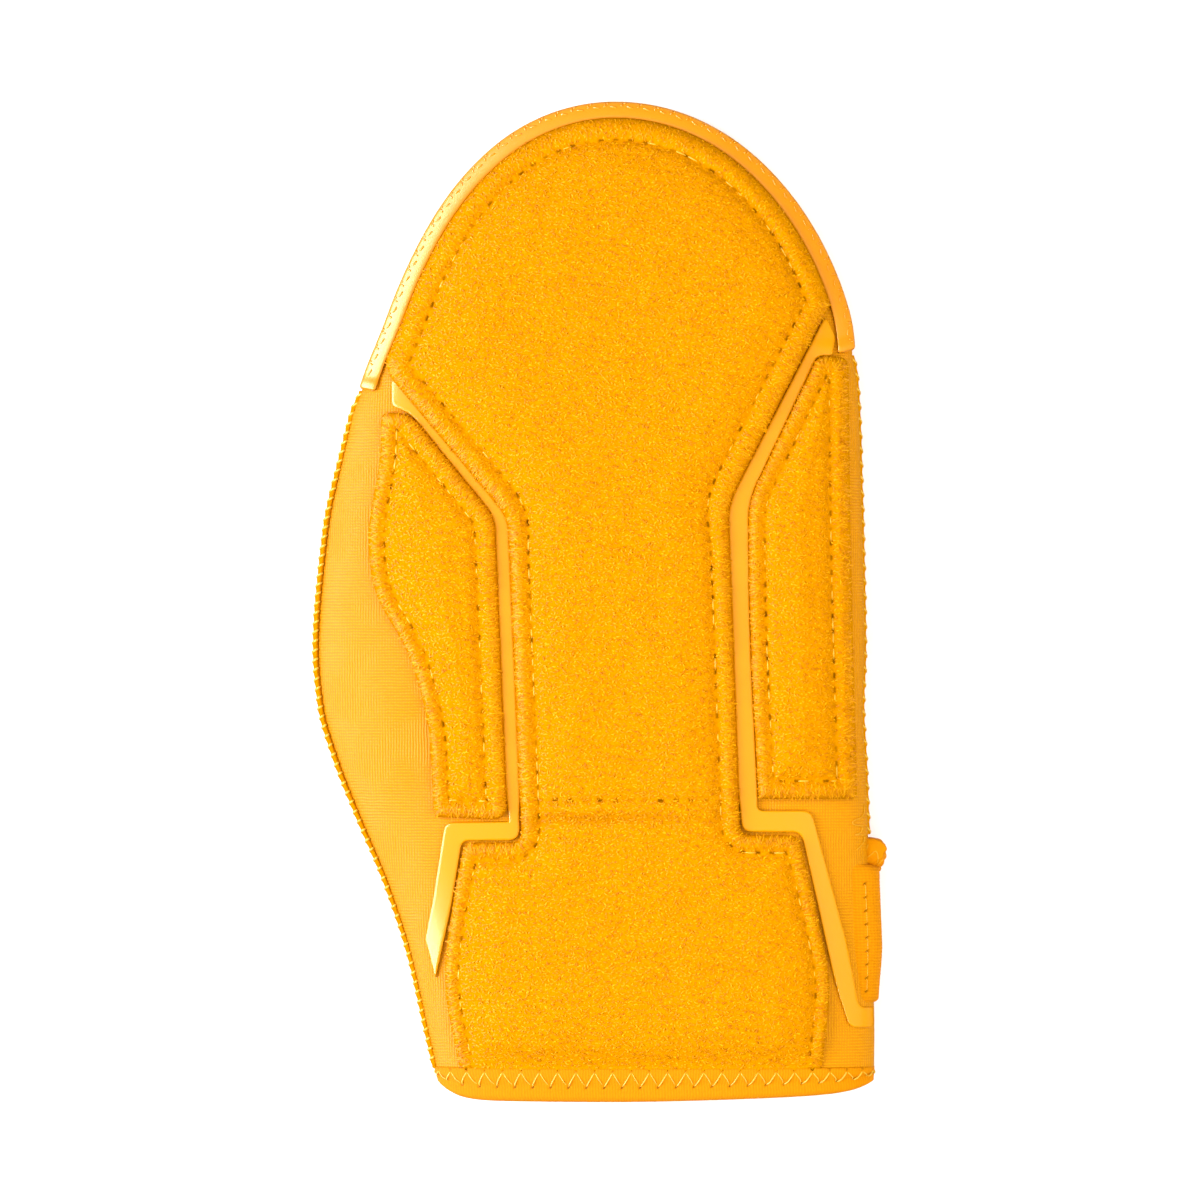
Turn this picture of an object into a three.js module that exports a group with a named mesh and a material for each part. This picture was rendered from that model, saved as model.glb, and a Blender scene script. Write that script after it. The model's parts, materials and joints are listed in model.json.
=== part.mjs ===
// Sliding mitt: a hollow knit hand sleeve with a moulded finger bumper, terry pads, bonded film strips,
// a bound wrist mouth and an elastic strap. Millimetres, +Z up. The mitt lies on its back: fingertips at
// +Y, wrist mouth at -Y, padded front at +Z, thumb side at -X.
import * as THREE from "three";
import { mergeVertices } from "three/addons/utils/BufferGeometryUtils.js";

// Driving dimensions
const LENGTH = 280;
const TIP_Y = LENGTH / 2;
const WRIST_Y = -LENGTH / 2;
const SPINE_X = 4.3; // the line under the crown of the front
const ARCH_Y = 40; // the round fingertip end begins here
const ARCH_REACH = TIP_Y - ARCH_Y;
const CLEARANCE = 0.4; // gap between neighbouring pieces
const LAID_LIFT = 0.6; // height of a pad's or film's underside over the curved front
const KNIT_WALL = 2.4;
const BUMPER_WALL = 1.8;
const BUMPER_LIP = 4.4; // width of the bumper's front lip, seen from the front
const BUMPER_FOOT = 9; // width of the lip under the back
const BUMPER_END = { thumb: 59.4, outer: 70.3 }; // where the bumper stops on each edge
const SIDE_PAD_THICKNESS = 4.6;
const PAD_ROLL = 1.5; // radius of a pad's rolled edge
const PAD_INSET = 4.8; // from the bumper's outline to the centre pad's edge
const CREASE_Y = -61.9; // sewn crease between the centre pad's upper and wrist parts
const FILM_THICKNESS = 0.7;
const HEM_TOP_Y = WRIST_Y + 11;
const HEM_PROUD = 0.5;
const STRAP_THICKNESS = 2.2;
const STRAP_SPAN_Y = [-112.6, -94.3, -76];
const TAB_THICKNESS = 4.2;
const TAB_SPAN_Y = [-75.6, -71, -66.6];
const BACK_SQUARE = 4; // how square the back's lower edges are
const BACK_SINK = 1.5; // how much of the back's round is pressed flat

// Cross sections of the sleeve: half widths from the spine, heights of the crown and of the edge seam, and
// how square each shoulder is. The fingertip arch narrows the half widths given for it.
const SECTIONS = rowsOf(
  ["y", "thumb", "outer", "crown", "seam", "thumbSquare", "outerSquare"],
  [
    [-140, 48.6, 72.4, 31.5, 16.5, 3.0, 3.2],
    [-120, 53.2, 72.6, 32.0, 16.6, 2.9, 3.3],
    [-100, 57.7, 72.0, 32.6, 16.6, 2.8, 3.4],
    [-80, 64.2, 71.2, 33.5, 16.6, 2.6, 3.6],
    [-60, 72.6, 70.6, 34.5, 16.4, 2.5, 3.9],
    [-45, 78.5, 70.0, 35.0, 16.2, 2.4, 4.2],
    [-30, 82.8, 69.3, 35.0, 16.0, 2.4, 4.4],
    [-14, 84.2, 69.8, 34.6, 15.8, 2.4, 4.4],
    [20, 81.4, 69.2, 33.0, 15.2, 2.5, 4.4],
    [45, 75.9, 68.6, 31.0, 14.6, 3.0, 4.4],
    [62, 72.8, 69.4, 29.4, 14.0, 3.8, 4.4],
    [80, 69.8, 72.0, 27.4, 13.2, 4.4, 4.4],
    [100, 69.1, 72.8, 25.0, 12.3, 4.4, 4.4],
    [120, 69.7, 73.5, 22.6, 11.5, 4.4, 4.4],
    [140, 72.0, 75.0, 20.5, 11.0, 4.4, 4.4],
  ],
);

// Height of the back above the floor: flat in the middle, lifted by the bumper and by the strap
const BACK = rowsOf(
  ["y", "lift"],
  [
    [-140, 0.5],
    [-127, 0.5],
    [-114, 2.6],
    [-63, 2.6],
    [-50, 0],
    [22, 0],
    [38, 2.6],
    [140, 2.6],
  ],
);

// The bumper's section, from its front lip down the outside to its foot and back up the inside. Each point
// has its distance inside the mitt's outline and its rise over the lip, the edge seam or the floor.
const BUMPER_PROFILE = rowsOf(
  ["inset", "from", "rise"],
  [
    [BUMPER_LIP, "lip", 1.8],
    [2.6, "lip", 1.3],
    [1, "lip", -0.6],
    [0.2, "lip", -3.4],
    [0, "seam", 0],
    [0.2, "floor", 4.4],
    [1, "floor", 1.6],
    [2.8, "floor", 0],
    [BUMPER_FOOT, "floor", 0],
    [BUMPER_FOOT, "floor", 2.2],
    [4.2, "floor", 2.2],
    [2.4, "floor", 4.2],
    [BUMPER_WALL, "seam", 0],
    [2, "lip", -3.6],
    [2.8, "lip", -1.2],
    [BUMPER_LIP, "lip", 0],
  ],
);

// Thickness of the centre pad: it dips at the crease and is thinner on the wrist
const CENTER_PAD = rowsOf(
  ["y", "thickness"],
  [
    [WRIST_Y, 4],
    [CREASE_Y - 4, 4],
    [CREASE_Y, 2.4],
    [CREASE_Y + 4, 5],
    [TIP_Y, 5],
  ],
);

// Outline corners, each with the length that its rounding takes off the two sides
const CORNER = ["x", "y", "round"];
const CENTER_PAD_ARCH = { fromY: 88.8, toY: 80 }; // stretch that follows the bumper, outer to thumb side
const CENTER_PAD_BELOW_ARCH = rowsOf(CORNER, [
  [-58.6, 63.2, 3],
  [-25.6, 23, 5],
  [-21.7, -67.5, 3.5],
  [-37.8, -67.7, 3],
  [-42.2, -86, 10],
  [-43.9, -107, 10],
  [-39.4, HEM_TOP_Y + CLEARANCE, 0],
  [61.9, HEM_TOP_Y + CLEARANCE, 0],
  [64.6, -107, 10],
  [59.6, -84, 10],
  [55.2, -65.5, 3],
  [39.7, -65.3, 3],
  [36.4, 26.6, 5],
  [63.6, 80.2, 4],
]);
const THUMB_SIDE_PAD_OUTLINE = rowsOf(CORNER, [
  [-61.2, 52.3, 2.5],
  [-52.6, 52.6, 4],
  [-28.6, 23.4, 4],
  [-24.9, -61.2, 4.5],
  [-46.2, -60.4, 1.5],
  [-47.6, -34, 9],
  [-53.2, -14.5, 8],
  [-63.6, 2.4, 8],
  [-65, 20, 8],
  [-61.1, 40, 6],
]);
const OUTER_SIDE_PAD_OUTLINE = rowsOf(CORNER, [
  [72, -55.4, 1.5],
  [70.2, 12, 20],
  [69.7, 67.8, 3],
  [60.9, 68.2, 2.5],
  [41.4, 27.5, 6],
  [41.6, -8, 20],
  [44.1, -55.3, 1.5],
]);
const THUMB_SIDE_FILM_OUTLINE = rowsOf(CORNER, [
  [-57.7, 61.3, 0],
  [-57.6, 54.6, 1],
  [-52.3, 53.1, 3],
  [-28.2, 23.6, 4],
  [-24.5, -61.7, 0],
  [-43.2, -62, 2.5],
  [-46.7, -84, 0],
  [-48.9, -94.6, 1],
  [-45.9, -105.6, 0.5],
  [-42.8, -86, 4],
  [-38.4, -67, 2],
  [-22.2, -66.9, 3.5],
  [-26, 22.8, 4],
]);
const OUTER_SIDE_FILM_OUTLINE = rowsOf(CORNER, [
  [63, 78.2, 0],
  [65.2, 73.5, 1],
  [64.4, 68.8, 0],
  [60.4, 68.8, 2],
  [40.8, 27.7, 6],
  [41, -8, 16],
  [43.5, -58.8, 2],
  [58.9, -58.8, 2.5],
  [68.6, -94.6, 0],
  [72.4, -113.8, 2],
  [75.2, -113.8, 0],
  [75.2, -119.3, 0],
  [69.7, -119.3, 2],
  [65.5, -106.6, 6],
  [60.1, -82.4, 6],
  [56, -64.6, 2.5],
  [40.1, -64.5, 3],
  [36.8, 26.4, 5],
]);

// How finely the surfaces are faceted
const SPAN_SHARES = spread(8, 2.4);
const SLEEVE_ROWS = 12;
const ARCH_STEPS = 18;
const BUMPER_STEPS = 26;
const ROUND_STEPS = 3;
const LAID_ROWS = { closestOnPads: 2, closestOnFilms: 0.5, widest: 12 };
const LAID_COLUMNS = { onFilms: 3, onPads: 4, widest: 14 };
const SHOULDER_YS = [-65.4, -67.6]; // where the centre pad widens below its crease, on each side
const CREASE_STEPS = [-3, 0, 3]; // rows round the crease
const END_STEP = 0.05; // from an outline's end to its first row
const ROLL_ROOM = 4; // a section narrower than this many roll radii has its rolls narrowed
const ROLL_STEPS = [0, 0.3, 1]; // where a rolled edge has its points, in roll radii from the edge

const KNIT = { color: 0xffb000, roughness: 0.9 };
const TERRY = { color: 0xffa800, roughness: 0.95 };
const FILM = { color: 0xffac00, roughness: 0.45 };
const RUBBER = { color: 0xffb21a, roughness: 0.5 };
const BINDING = { color: 0xffa800, roughness: 0.85 };

// Tables and interpolation

function rowsOf(columns, rows) {
  return rows.map((values) => Object.fromEntries(columns.map((column, i) => [column, values[i]])));
}

// Shares from 0 to 1 that crowd towards 1, where a section bends most
function spread(steps, crowding) {
  return Array.from({ length: steps + 1 }, (_, i) => 1 - (1 - i / steps) ** crowding);
}

// Smooth curve through one column of a table, with no overshoot between its rows
function curveOf(table, column) {
  const at = table.map((row) => row.y);
  const value = table.map((row) => row[column]);
  const slope = value.slice(1).map((v, i) => (v - value[i]) / (at[i + 1] - at[i]));
  const tangent = value.map((_, i) => {
    const before = slope[Math.max(i - 1, 0)];
    const after = slope[Math.min(i, slope.length - 1)];
    return before * after > 0 ? (2 * before * after) / (before + after) : 0;
  });
  return (y) => {
    const clamped = THREE.MathUtils.clamp(y, at[0], at[at.length - 1]);
    const next = Math.max(1, at.findIndex((row) => row >= clamped));
    const i = next - 1;
    const gap = at[next] - at[i];
    const t = (clamped - at[i]) / gap;
    const bend = t * (1 - t) * gap * (tangent[i] * (1 - t) - tangent[next] * t);
    const ease = t * t * (3 - 2 * t);
    return value[i] + (value[next] - value[i]) * ease + bend;
  };
}

const halfWidthOf = { thumb: curveOf(SECTIONS, "thumb"), outer: curveOf(SECTIONS, "outer") };
const squareOf = { thumb: curveOf(SECTIONS, "thumbSquare"), outer: curveOf(SECTIONS, "outerSquare") };
const crownOf = curveOf(SECTIONS, "crown");
const seamOf = curveOf(SECTIONS, "seam");
const liftOf = curveOf(BACK, "lift");

// The sleeve's surface

const TUCK = BUMPER_WALL + 1.5 * CLEARANCE; // how far the sleeve sits inside the bumper's outline
const TUCK_RUN = [4.5, 1]; // the tuck eases in over this stretch before the bumper's end
const SLEEVE_REACH = ARCH_REACH - TUCK;
const SIDE_BLEND = 30; // the two shoulders' squareness blends over this distance from the spine

function sideOf(x) {
  return x < SPINE_X ? "thumb" : "outer";
}

function signOf(side) {
  return side === "thumb" ? -1 : 1;
}

function sleeveHalfWidth(side, y, inset) {
  const [start, full] = TUCK_RUN.map((run) => BUMPER_END[side] - run);
  return halfWidthOf[side](y) - TUCK * THREE.MathUtils.smoothstep(y, start, full) - inset;
}

// 0 on the spine, 1 on the sleeve's edge
function shareOf(x, y, inset) {
  const across = (x - SPINE_X) / sleeveHalfWidth(sideOf(x), y, inset);
  const along = Math.max(0, y - ARCH_Y) / (SLEEVE_REACH - inset);
  return Math.min(1, Math.hypot(across, along));
}

function dome(share, square) {
  return (1 - share ** square) ** (1 / square);
}

function frontHeight(x, y, inset = 0) {
  const blend = THREE.MathUtils.smoothstep(x, SPINE_X - SIDE_BLEND, SPINE_X + SIDE_BLEND);
  const square = THREE.MathUtils.lerp(squareOf.thumb(y), squareOf.outer(y), blend);
  return seamOf(y) + (crownOf(y) - inset - seamOf(y)) * dome(shareOf(x, y, inset), square);
}

function backHeight(x, y, inset = 0) {
  const low = liftOf(y) + inset;
  const drop = (seamOf(y) - low + BACK_SINK) * dome(shareOf(x, y, inset), BACK_SQUARE);
  return Math.max(low, seamOf(y) - drop);
}

// Building solids

function addQuad(triangles, a, b, c, d) {
  triangles.push([a, b, c], [a, c, d]);
}

// Closed geometry from triangles of points, with its faces turned outwards
function solidOf(triangles) {
  const points = triangles.flat().flatMap((p) => [p.x, p.y, p.z]);
  const loose = new THREE.BufferGeometry();
  loose.setAttribute("position", new THREE.Float32BufferAttribute(points, 3));
  const merged = mergeVertices(loose);
  const corner = (i) => new THREE.Vector3().fromBufferAttribute(merged.attributes.position, i);
  const kept = [];
  let volume = 0;
  for (let i = 0; i < merged.index.count; i += 3) {
    const [a, b, c] = [0, 1, 2].map((k) => merged.index.getX(i + k));
    if (a !== b && b !== c && c !== a) {
      kept.push([a, b, c]);
      volume += corner(a).dot(corner(b).cross(corner(c)));
    }
  }
  merged.setIndex((volume < 0 ? kept.map((face) => face.reverse()) : kept).flat());
  return merged;
}

// Rings of points joined one to the next, and capped at both ends unless they run round in a loop
function loft(rings, profile, loops = false) {
  const triangles = [];
  const count = profile.length;
  const joints = loops ? rings.length : rings.length - 1;
  for (let i = 0; i < joints; i += 1) {
    const ring = rings[i];
    const next = rings[(i + 1) % rings.length];
    for (let k = 0; k < count; k += 1) {
      const after = (k + 1) % count;
      addQuad(triangles, ring[k], ring[after], next[after], next[k]);
    }
  }
  if (!loops) {
    const cap = THREE.ShapeUtils.triangulateShape(profile, []);
    const turn = THREE.ShapeUtils.isClockWise(profile) ? 1 : -1;
    for (const [a, b, c] of cap) {
      const first = turn < 0 ? [c, b, a] : [a, b, c];
      triangles.push(first.map((k) => rings[0][k]));
      triangles.push([...first].reverse().map((k) => rings[rings.length - 1][k]));
    }
  }
  return solidOf(triangles);
}

// Closed outline with rounded corners
function outlineOf(corners) {
  const shape = new THREE.Shape();
  corners.forEach((corner, i) => {
    const here = new THREE.Vector2(corner.x, corner.y);
    const [before, after] = [corners.at(i - 1), corners[(i + 1) % corners.length]].map((other) => {
      const way = new THREE.Vector2(other.x, other.y).sub(here);
      return here.clone().addScaledVector(way.normalize(), corner.round);
    });
    if (i === 0) {
      shape.moveTo(before.x, before.y);
    } else {
      shape.lineTo(before.x, before.y);
    }
    if (corner.round > 0) {
      shape.quadraticCurveTo(here.x, here.y, after.x, after.y);
    }
  });
  return shape.getPoints(ROUND_STEPS);
}

function sidesOf(outline) {
  const corners = outline.map((point) => new THREE.Vector3(point.x, point.y, 0));
  return corners.map((corner, i) => new THREE.Line3(corner, corners[(i + 1) % corners.length]));
}

// Leftmost and rightmost x of an outline at one y
function spanAt(sides, y) {
  const crossings = [];
  for (const { start, end } of sides) {
    if (start.y <= y !== end.y <= y) {
      crossings.push(THREE.MathUtils.mapLinear(y, start.y, end.y, start.x, end.x));
    }
  }
  return [Math.min(...crossings), Math.max(...crossings)];
}

function distanceTo(sides, x, y) {
  const at = new THREE.Vector3(x, y, 0);
  const foot = new THREE.Vector3();
  return Math.min(...sides.map((side) => side.closestPointToPoint(at, true, foot).distanceTo(at)));
}

// Rows of sections along an outline: one near each corner, with long gaps filled
function rowsAlong(outline, roll, closest, extraRows) {
  const corners = outline.map((point) => point.y);
  const low = Math.min(...corners);
  const high = Math.max(...corners);
  const nearEnd = [END_STEP, ...(roll > 0 ? ROLL_STEPS.slice(1).map((step) => step * roll) : [])];
  const wanted = [...extraRows, ...nearEnd.flatMap((step) => [low + step, high - step])];
  const isClear = (y) => y > low && y < high && wanted.every((kept) => Math.abs(kept - y) > closest);
  for (const y of corners) {
    if (isClear(y)) {
      wanted.push(y);
    }
  }
  wanted.sort((a, b) => a - b);
  return wanted.flatMap((y, i) => {
    const gap = (wanted[i + 1] ?? y) - y;
    const parts = Math.max(1, Math.ceil(gap / LAID_ROWS.widest));
    return Array.from({ length: parts }, (_, k) => y + (gap * k) / parts);
  });
}

// Pad or strip laid over the front of the sleeve, built from sections across the mitt
function laidPiece(corners, thicknessOf, roll = 0, extraRows = []) {
  const outline = outlineOf(corners);
  const sides = sidesOf(outline);
  const closest = roll > 0 ? LAID_ROWS.closestOnPads : LAID_ROWS.closestOnFilms;
  const rows = rowsAlong(outline, roll, closest, extraRows);
  const spans = rows.map((y) => spanAt(sides, y));
  const widest = Math.max(...spans.map(([left, right]) => right - left));
  const fewest = roll > 0 ? LAID_COLUMNS.onPads : LAID_COLUMNS.onFilms;
  const columns = Math.max(fewest, Math.ceil(widest / LAID_COLUMNS.widest));
  const topOf = (x, y) => {
    const rolledIn = Math.max(0, roll - distanceTo(sides, x, y));
    return thicknessOf(y) - roll + Math.sqrt(roll ** 2 - rolledIn ** 2);
  };
  const edgeSteps = roll > 0 ? ROLL_STEPS.map((step) => step * roll) : [0];
  const rings = rows.map((y, i) => {
    const [left, right] = spans[i];
    const narrow = roll > 0 ? Math.min(1, (right - left) / (ROLL_ROOM * roll)) : 1;
    const steps = edgeSteps.map((step) => step * narrow);
    const inner = steps.at(-1);
    const middle = Array.from({ length: columns - 1 }, (_, k) => {
      const share = (1 - Math.cos((Math.PI * (k + 1)) / columns)) / 2;
      return THREE.MathUtils.lerp(left + inner, right - inner, share);
    });
    const below = [left, ...middle, right].map((x) => [x, 0]);
    const acrossTop = [...steps.map((step) => left + step), ...middle];
    acrossTop.push(...steps.map((step) => right - step).reverse());
    const above = acrossTop.map((x) => [x, topOf(x, y)]).reverse();
    return [...below, ...above].map(
      ([x, z]) => new THREE.Vector3(x, y, frontHeight(x, y) + LAID_LIFT + z),
    );
  });
  const profile = rings[0].map((point) => new THREE.Vector2(point.x, point.z));
  return loft(rings, profile);
}

// Even steps round the fingertip arch, and the places where the sleeve tucks in under the bumper's ends
function archAngles() {
  const even = Array.from({ length: ARCH_STEPS + 1 }, (_, i) => (Math.PI * i) / ARCH_STEPS);
  const tucks = TUCK_RUN.flatMap((run) => [
    Math.asin((BUMPER_END.outer - run - ARCH_Y) / SLEEVE_REACH),
    Math.PI - Math.asin((BUMPER_END.thumb - run - ARCH_Y) / SLEEVE_REACH),
  ]);
  return [...even, ...tucks].sort((a, b) => a - b);
}

// Stations round the sleeve's edge, from the outer wrist corner over the fingertips to the thumb wrist
// corner, each with its point on the spine and its point on the edge
function edgeStations(inset) {
  const stations = [];
  const wristEnd = HEM_TOP_Y + CLEARANCE;
  const straight = Array.from({ length: SLEEVE_ROWS }, (_, i) =>
    THREE.MathUtils.lerp(wristEnd, ARCH_Y, i / SLEEVE_ROWS),
  );
  const addStraight = (side, y) => {
    const x = SPINE_X + signOf(side) * sleeveHalfWidth(side, y, inset);
    stations.push({ spine: new THREE.Vector2(SPINE_X, y), edge: new THREE.Vector2(x, y) });
  };
  straight.forEach((y) => addStraight("outer", y));
  for (const angle of archAngles()) {
    const side = angle > Math.PI / 2 ? "thumb" : "outer";
    const y = ARCH_Y + (SLEEVE_REACH - inset) * Math.sin(angle);
    const x = SPINE_X + sleeveHalfWidth(side, y, inset) * Math.cos(angle);
    stations.push({ spine: new THREE.Vector2(SPINE_X, ARCH_Y), edge: new THREE.Vector2(x, y) });
  }
  straight.reverse().forEach((y) => addStraight("thumb", y));
  return stations;
}

// One half of the sleeve: its outer skin, its inner skin and the cut edges between them
function sleeveHalf(heightOf, seamStep) {
  const skin = (inset) =>
    edgeStations(inset).map(({ spine, edge }) =>
      SPAN_SHARES.map((share) => {
        const at = spine.clone().lerp(edge, share);
        const z = share < 1 ? heightOf(at.x, at.y, inset) : seamOf(at.y) + seamStep;
        return new THREE.Vector3(at.x, at.y, z);
      }),
    );
  const outside = skin(0);
  const inside = skin(KNIT_WALL);
  const triangles = [];
  const last = outside.length - 1;
  const rim = SPAN_SHARES.length - 1;
  for (let s = 0; s < last; s += 1) {
    for (let k = 0; k < rim; k += 1) {
      addQuad(triangles, outside[s][k], outside[s][k + 1], outside[s + 1][k + 1], outside[s + 1][k]);
      addQuad(triangles, inside[s + 1][k], inside[s + 1][k + 1], inside[s][k + 1], inside[s][k]);
    }
    addQuad(triangles, outside[s + 1][rim], outside[s][rim], inside[s][rim], inside[s + 1][rim]);
  }
  for (let k = 0; k < rim; k += 1) {
    addQuad(triangles, outside[0][k + 1], outside[0][k], inside[0][k], inside[0][k + 1]);
    addQuad(triangles, outside[last][k], outside[last][k + 1], inside[last][k + 1], inside[last][k]);
  }
  return solidOf(triangles);
}

// Point on the sleeve's front or back, a share of the way from the spine to an edge, grown outwards
function skinPoint(heightOf, side, share, y, grow) {
  const x = SPINE_X + signOf(side) * share * sleeveHalfWidth(side, y, -grow);
  const z = share < 1 ? heightOf(x, y, -grow) : seamOf(y);
  return new THREE.Vector3(x, y, z);
}

// Sub-parts

function frontShell() {
  return sleeveHalf(frontHeight, CLEARANCE / 2);
}

function backShell() {
  return sleeveHalf(backHeight, -CLEARANCE / 2);
}

// Point of the mitt's outline in the fingertip arch, moved inwards
function archPoint(angle, inset) {
  const side = angle > Math.PI / 2 ? "thumb" : "outer";
  const y = ARCH_Y + (ARCH_REACH - inset) * Math.sin(angle);
  const x = SPINE_X + (halfWidthOf[side](y) - inset) * Math.cos(angle);
  return new THREE.Vector2(x, y);
}

function archAngle(y, inset) {
  return Math.asin((y - ARCH_Y) / (ARCH_REACH - inset));
}

// Channel-shaped rim: a front lip, the outer wall and a foot that lies under the back
function fingerBumper() {
  const first = archAngle(BUMPER_END.outer, 0);
  const last = Math.PI - archAngle(BUMPER_END.thumb, 0);
  const rings = Array.from({ length: BUMPER_STEPS + 1 }, (_, i) => {
    const angle = THREE.MathUtils.lerp(first, last, i / BUMPER_STEPS);
    const lipAt = archPoint(angle, BUMPER_LIP);
    const heights = { lip: frontHeight(lipAt.x, lipAt.y) + CLEARANCE, seam: seamOf(lipAt.y), floor: 0 };
    return BUMPER_PROFILE.map(({ inset, from, rise }) => {
      const at = archPoint(angle, inset);
      return new THREE.Vector3(at.x, at.y, heights[from] + rise);
    });
  });
  const tipHeights = { lip: crownOf(TIP_Y), seam: seamOf(TIP_Y), floor: 0 };
  const profile = BUMPER_PROFILE.map(
    ({ inset, from, rise }) => new THREE.Vector2(inset, tipHeights[from] + rise),
  );
  return loft(rings, profile);
}

function centerPad() {
  const first = archAngle(CENTER_PAD_ARCH.fromY, PAD_INSET);
  const last = Math.PI - archAngle(CENTER_PAD_ARCH.toY, PAD_INSET);
  const arch = Array.from({ length: ARCH_STEPS + 1 }, (_, i) => {
    const at = archPoint(THREE.MathUtils.lerp(first, last, i / ARCH_STEPS), PAD_INSET);
    return { x: at.x, y: at.y, round: 0 };
  });
  const shoulderRows = SHOULDER_YS.flatMap((y) => ROLL_STEPS.map((step) => y - step * PAD_ROLL));
  const creaseRows = CREASE_STEPS.map((step) => CREASE_Y + step);
  const corners = [...arch, ...CENTER_PAD_BELOW_ARCH];
  return laidPiece(corners, curveOf(CENTER_PAD, "thickness"), PAD_ROLL, [...shoulderRows, ...creaseRows]);
}

function sidePad(corners) {
  return laidPiece(corners, () => SIDE_PAD_THICKNESS, PAD_ROLL);
}

function filmStrip(corners) {
  return laidPiece(corners, () => FILM_THICKNESS);
}

// Folded binding round the mouth, a little shorter at the two sides than at the middle
function wristHem() {
  const around = [
    ...SPAN_SHARES.map((share) => [frontHeight, "thumb", share]),
    ...SPAN_SHARES.map((share) => [backHeight, "thumb", share]).reverse().slice(1),
    ...SPAN_SHARES.map((share) => [backHeight, "outer", share]).slice(1),
    ...SPAN_SHARES.map((share) => [frontHeight, "outer", share]).reverse().slice(1, -1),
  ];
  const inner = -KNIT_WALL - HEM_PROUD;
  const fold = 1;
  const profile = [
    [HEM_TOP_Y, HEM_PROUD],
    [WRIST_Y + fold, HEM_PROUD],
    [WRIST_Y, HEM_PROUD - fold],
    [WRIST_Y, inner + fold],
    [WRIST_Y + fold, inner],
    [HEM_TOP_Y, inner],
  ];
  const sideRise = 5;
  const sideCrowding = 6;
  const rings = around.map(([heightOf, side, share]) =>
    profile.map(([y, grow]) => {
      const rise = y < HEM_TOP_Y ? sideRise * share ** sideCrowding : 0;
      return skinPoint(heightOf, side, share, y + rise, grow);
    }),
  );
  return loft(rings, profile, true);
}

// Band round the outer edge, through a list of places on the front and back
function edgeBand(route, spanY, thickness) {
  const bottom = CLEARANCE;
  const top = CLEARANCE + thickness;
  const profile = [...spanY.map((y) => [y, bottom]), ...spanY.map((y) => [y, top]).reverse()];
  const rings = route.map(([heightOf, side, share]) =>
    profile.map(([y, grow]) => skinPoint(heightOf, side, share, y, grow)),
  );
  return loft(rings, profile.map(([y, grow]) => new THREE.Vector2(y, grow)));
}

function wristStrap() {
  const sewnFrom = 0.94;
  const endsAt = 0.7;
  const nearEdge = [sewnFrom, ...SPAN_SHARES.filter((share) => share > sewnFrom)];
  const onFront = nearEdge.map((share) => [frontHeight, "outer", share]);
  const onBack = SPAN_SHARES.map((share) => [backHeight, "outer", share]).reverse().slice(1);
  const pastSpine = SPAN_SHARES.filter((share) => share > 0 && share < endsAt);
  const onThumbSide = pastSpine.map((share) => [backHeight, "thumb", share]);
  return edgeBand([...onFront, ...onBack, ...onThumbSide], STRAP_SPAN_Y, STRAP_THICKNESS);
}

function strapTab() {
  const frontShares = [0.995, 1];
  const backShares = [0.995, 0.985];
  const onFront = frontShares.map((share) => [frontHeight, "outer", share]);
  const onBack = backShares.map((share) => [backHeight, "outer", share]);
  return edgeBand([...onFront, ...onBack], TAB_SPAN_Y, TAB_THICKNESS);
}

// Assembly

function piece(name, geometry, finish) {
  const shaded = geometry.toNonIndexed();
  shaded.computeVertexNormals();
  const mesh = new THREE.Mesh(shaded, new THREE.MeshStandardMaterial({ metalness: 0, ...finish }));
  mesh.name = name;
  return mesh;
}

const mitt = new THREE.Group();
mitt.add(
  piece("front_shell", frontShell(), KNIT),
  piece("back_shell", backShell(), KNIT),
  piece("finger_bumper", fingerBumper(), RUBBER),
  piece("center_pad", centerPad(), TERRY),
  piece("thumb_side_pad", sidePad(THUMB_SIDE_PAD_OUTLINE), TERRY),
  piece("outer_side_pad", sidePad(OUTER_SIDE_PAD_OUTLINE), TERRY),
  piece("thumb_side_film", filmStrip(THUMB_SIDE_FILM_OUTLINE), FILM),
  piece("outer_side_film", filmStrip(OUTER_SIDE_FILM_OUTLINE), FILM),
  piece("wrist_hem", wristHem(), BINDING),
  piece("wrist_strap", wristStrap(), KNIT),
  piece("strap_tab", strapTab(), BINDING),
);

export default mitt;
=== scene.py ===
"""Looks of the sliding mitt: knit sleeve, terry pads, film strips, rubber bumper, binding, strap and threads.

Lengths are in millimetres, in the CAD model's frame, until a mesh is made.
"""
import json

import bmesh
import bpy
import numpy as np
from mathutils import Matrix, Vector, kdtree
from mathutils.bvhtree import BVHTree
from mathutils.geometry import delaunay_2d_cdt


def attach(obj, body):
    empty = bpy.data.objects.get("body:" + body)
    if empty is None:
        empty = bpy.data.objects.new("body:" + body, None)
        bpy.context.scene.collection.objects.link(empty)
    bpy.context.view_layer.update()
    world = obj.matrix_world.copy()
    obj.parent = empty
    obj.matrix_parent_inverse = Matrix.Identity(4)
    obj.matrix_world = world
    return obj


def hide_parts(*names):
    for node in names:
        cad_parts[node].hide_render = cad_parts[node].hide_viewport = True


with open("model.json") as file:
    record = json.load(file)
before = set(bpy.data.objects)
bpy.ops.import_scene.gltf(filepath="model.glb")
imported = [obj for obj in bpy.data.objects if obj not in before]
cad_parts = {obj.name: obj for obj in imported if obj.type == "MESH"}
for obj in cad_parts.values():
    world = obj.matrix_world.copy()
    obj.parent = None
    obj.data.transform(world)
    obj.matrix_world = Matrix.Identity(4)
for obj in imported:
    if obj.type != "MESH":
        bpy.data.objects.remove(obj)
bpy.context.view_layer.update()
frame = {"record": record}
random = np.random.default_rng(11)

MM = 0.001
TINY = 1e-9
CORNER_CUTS = 2

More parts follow.
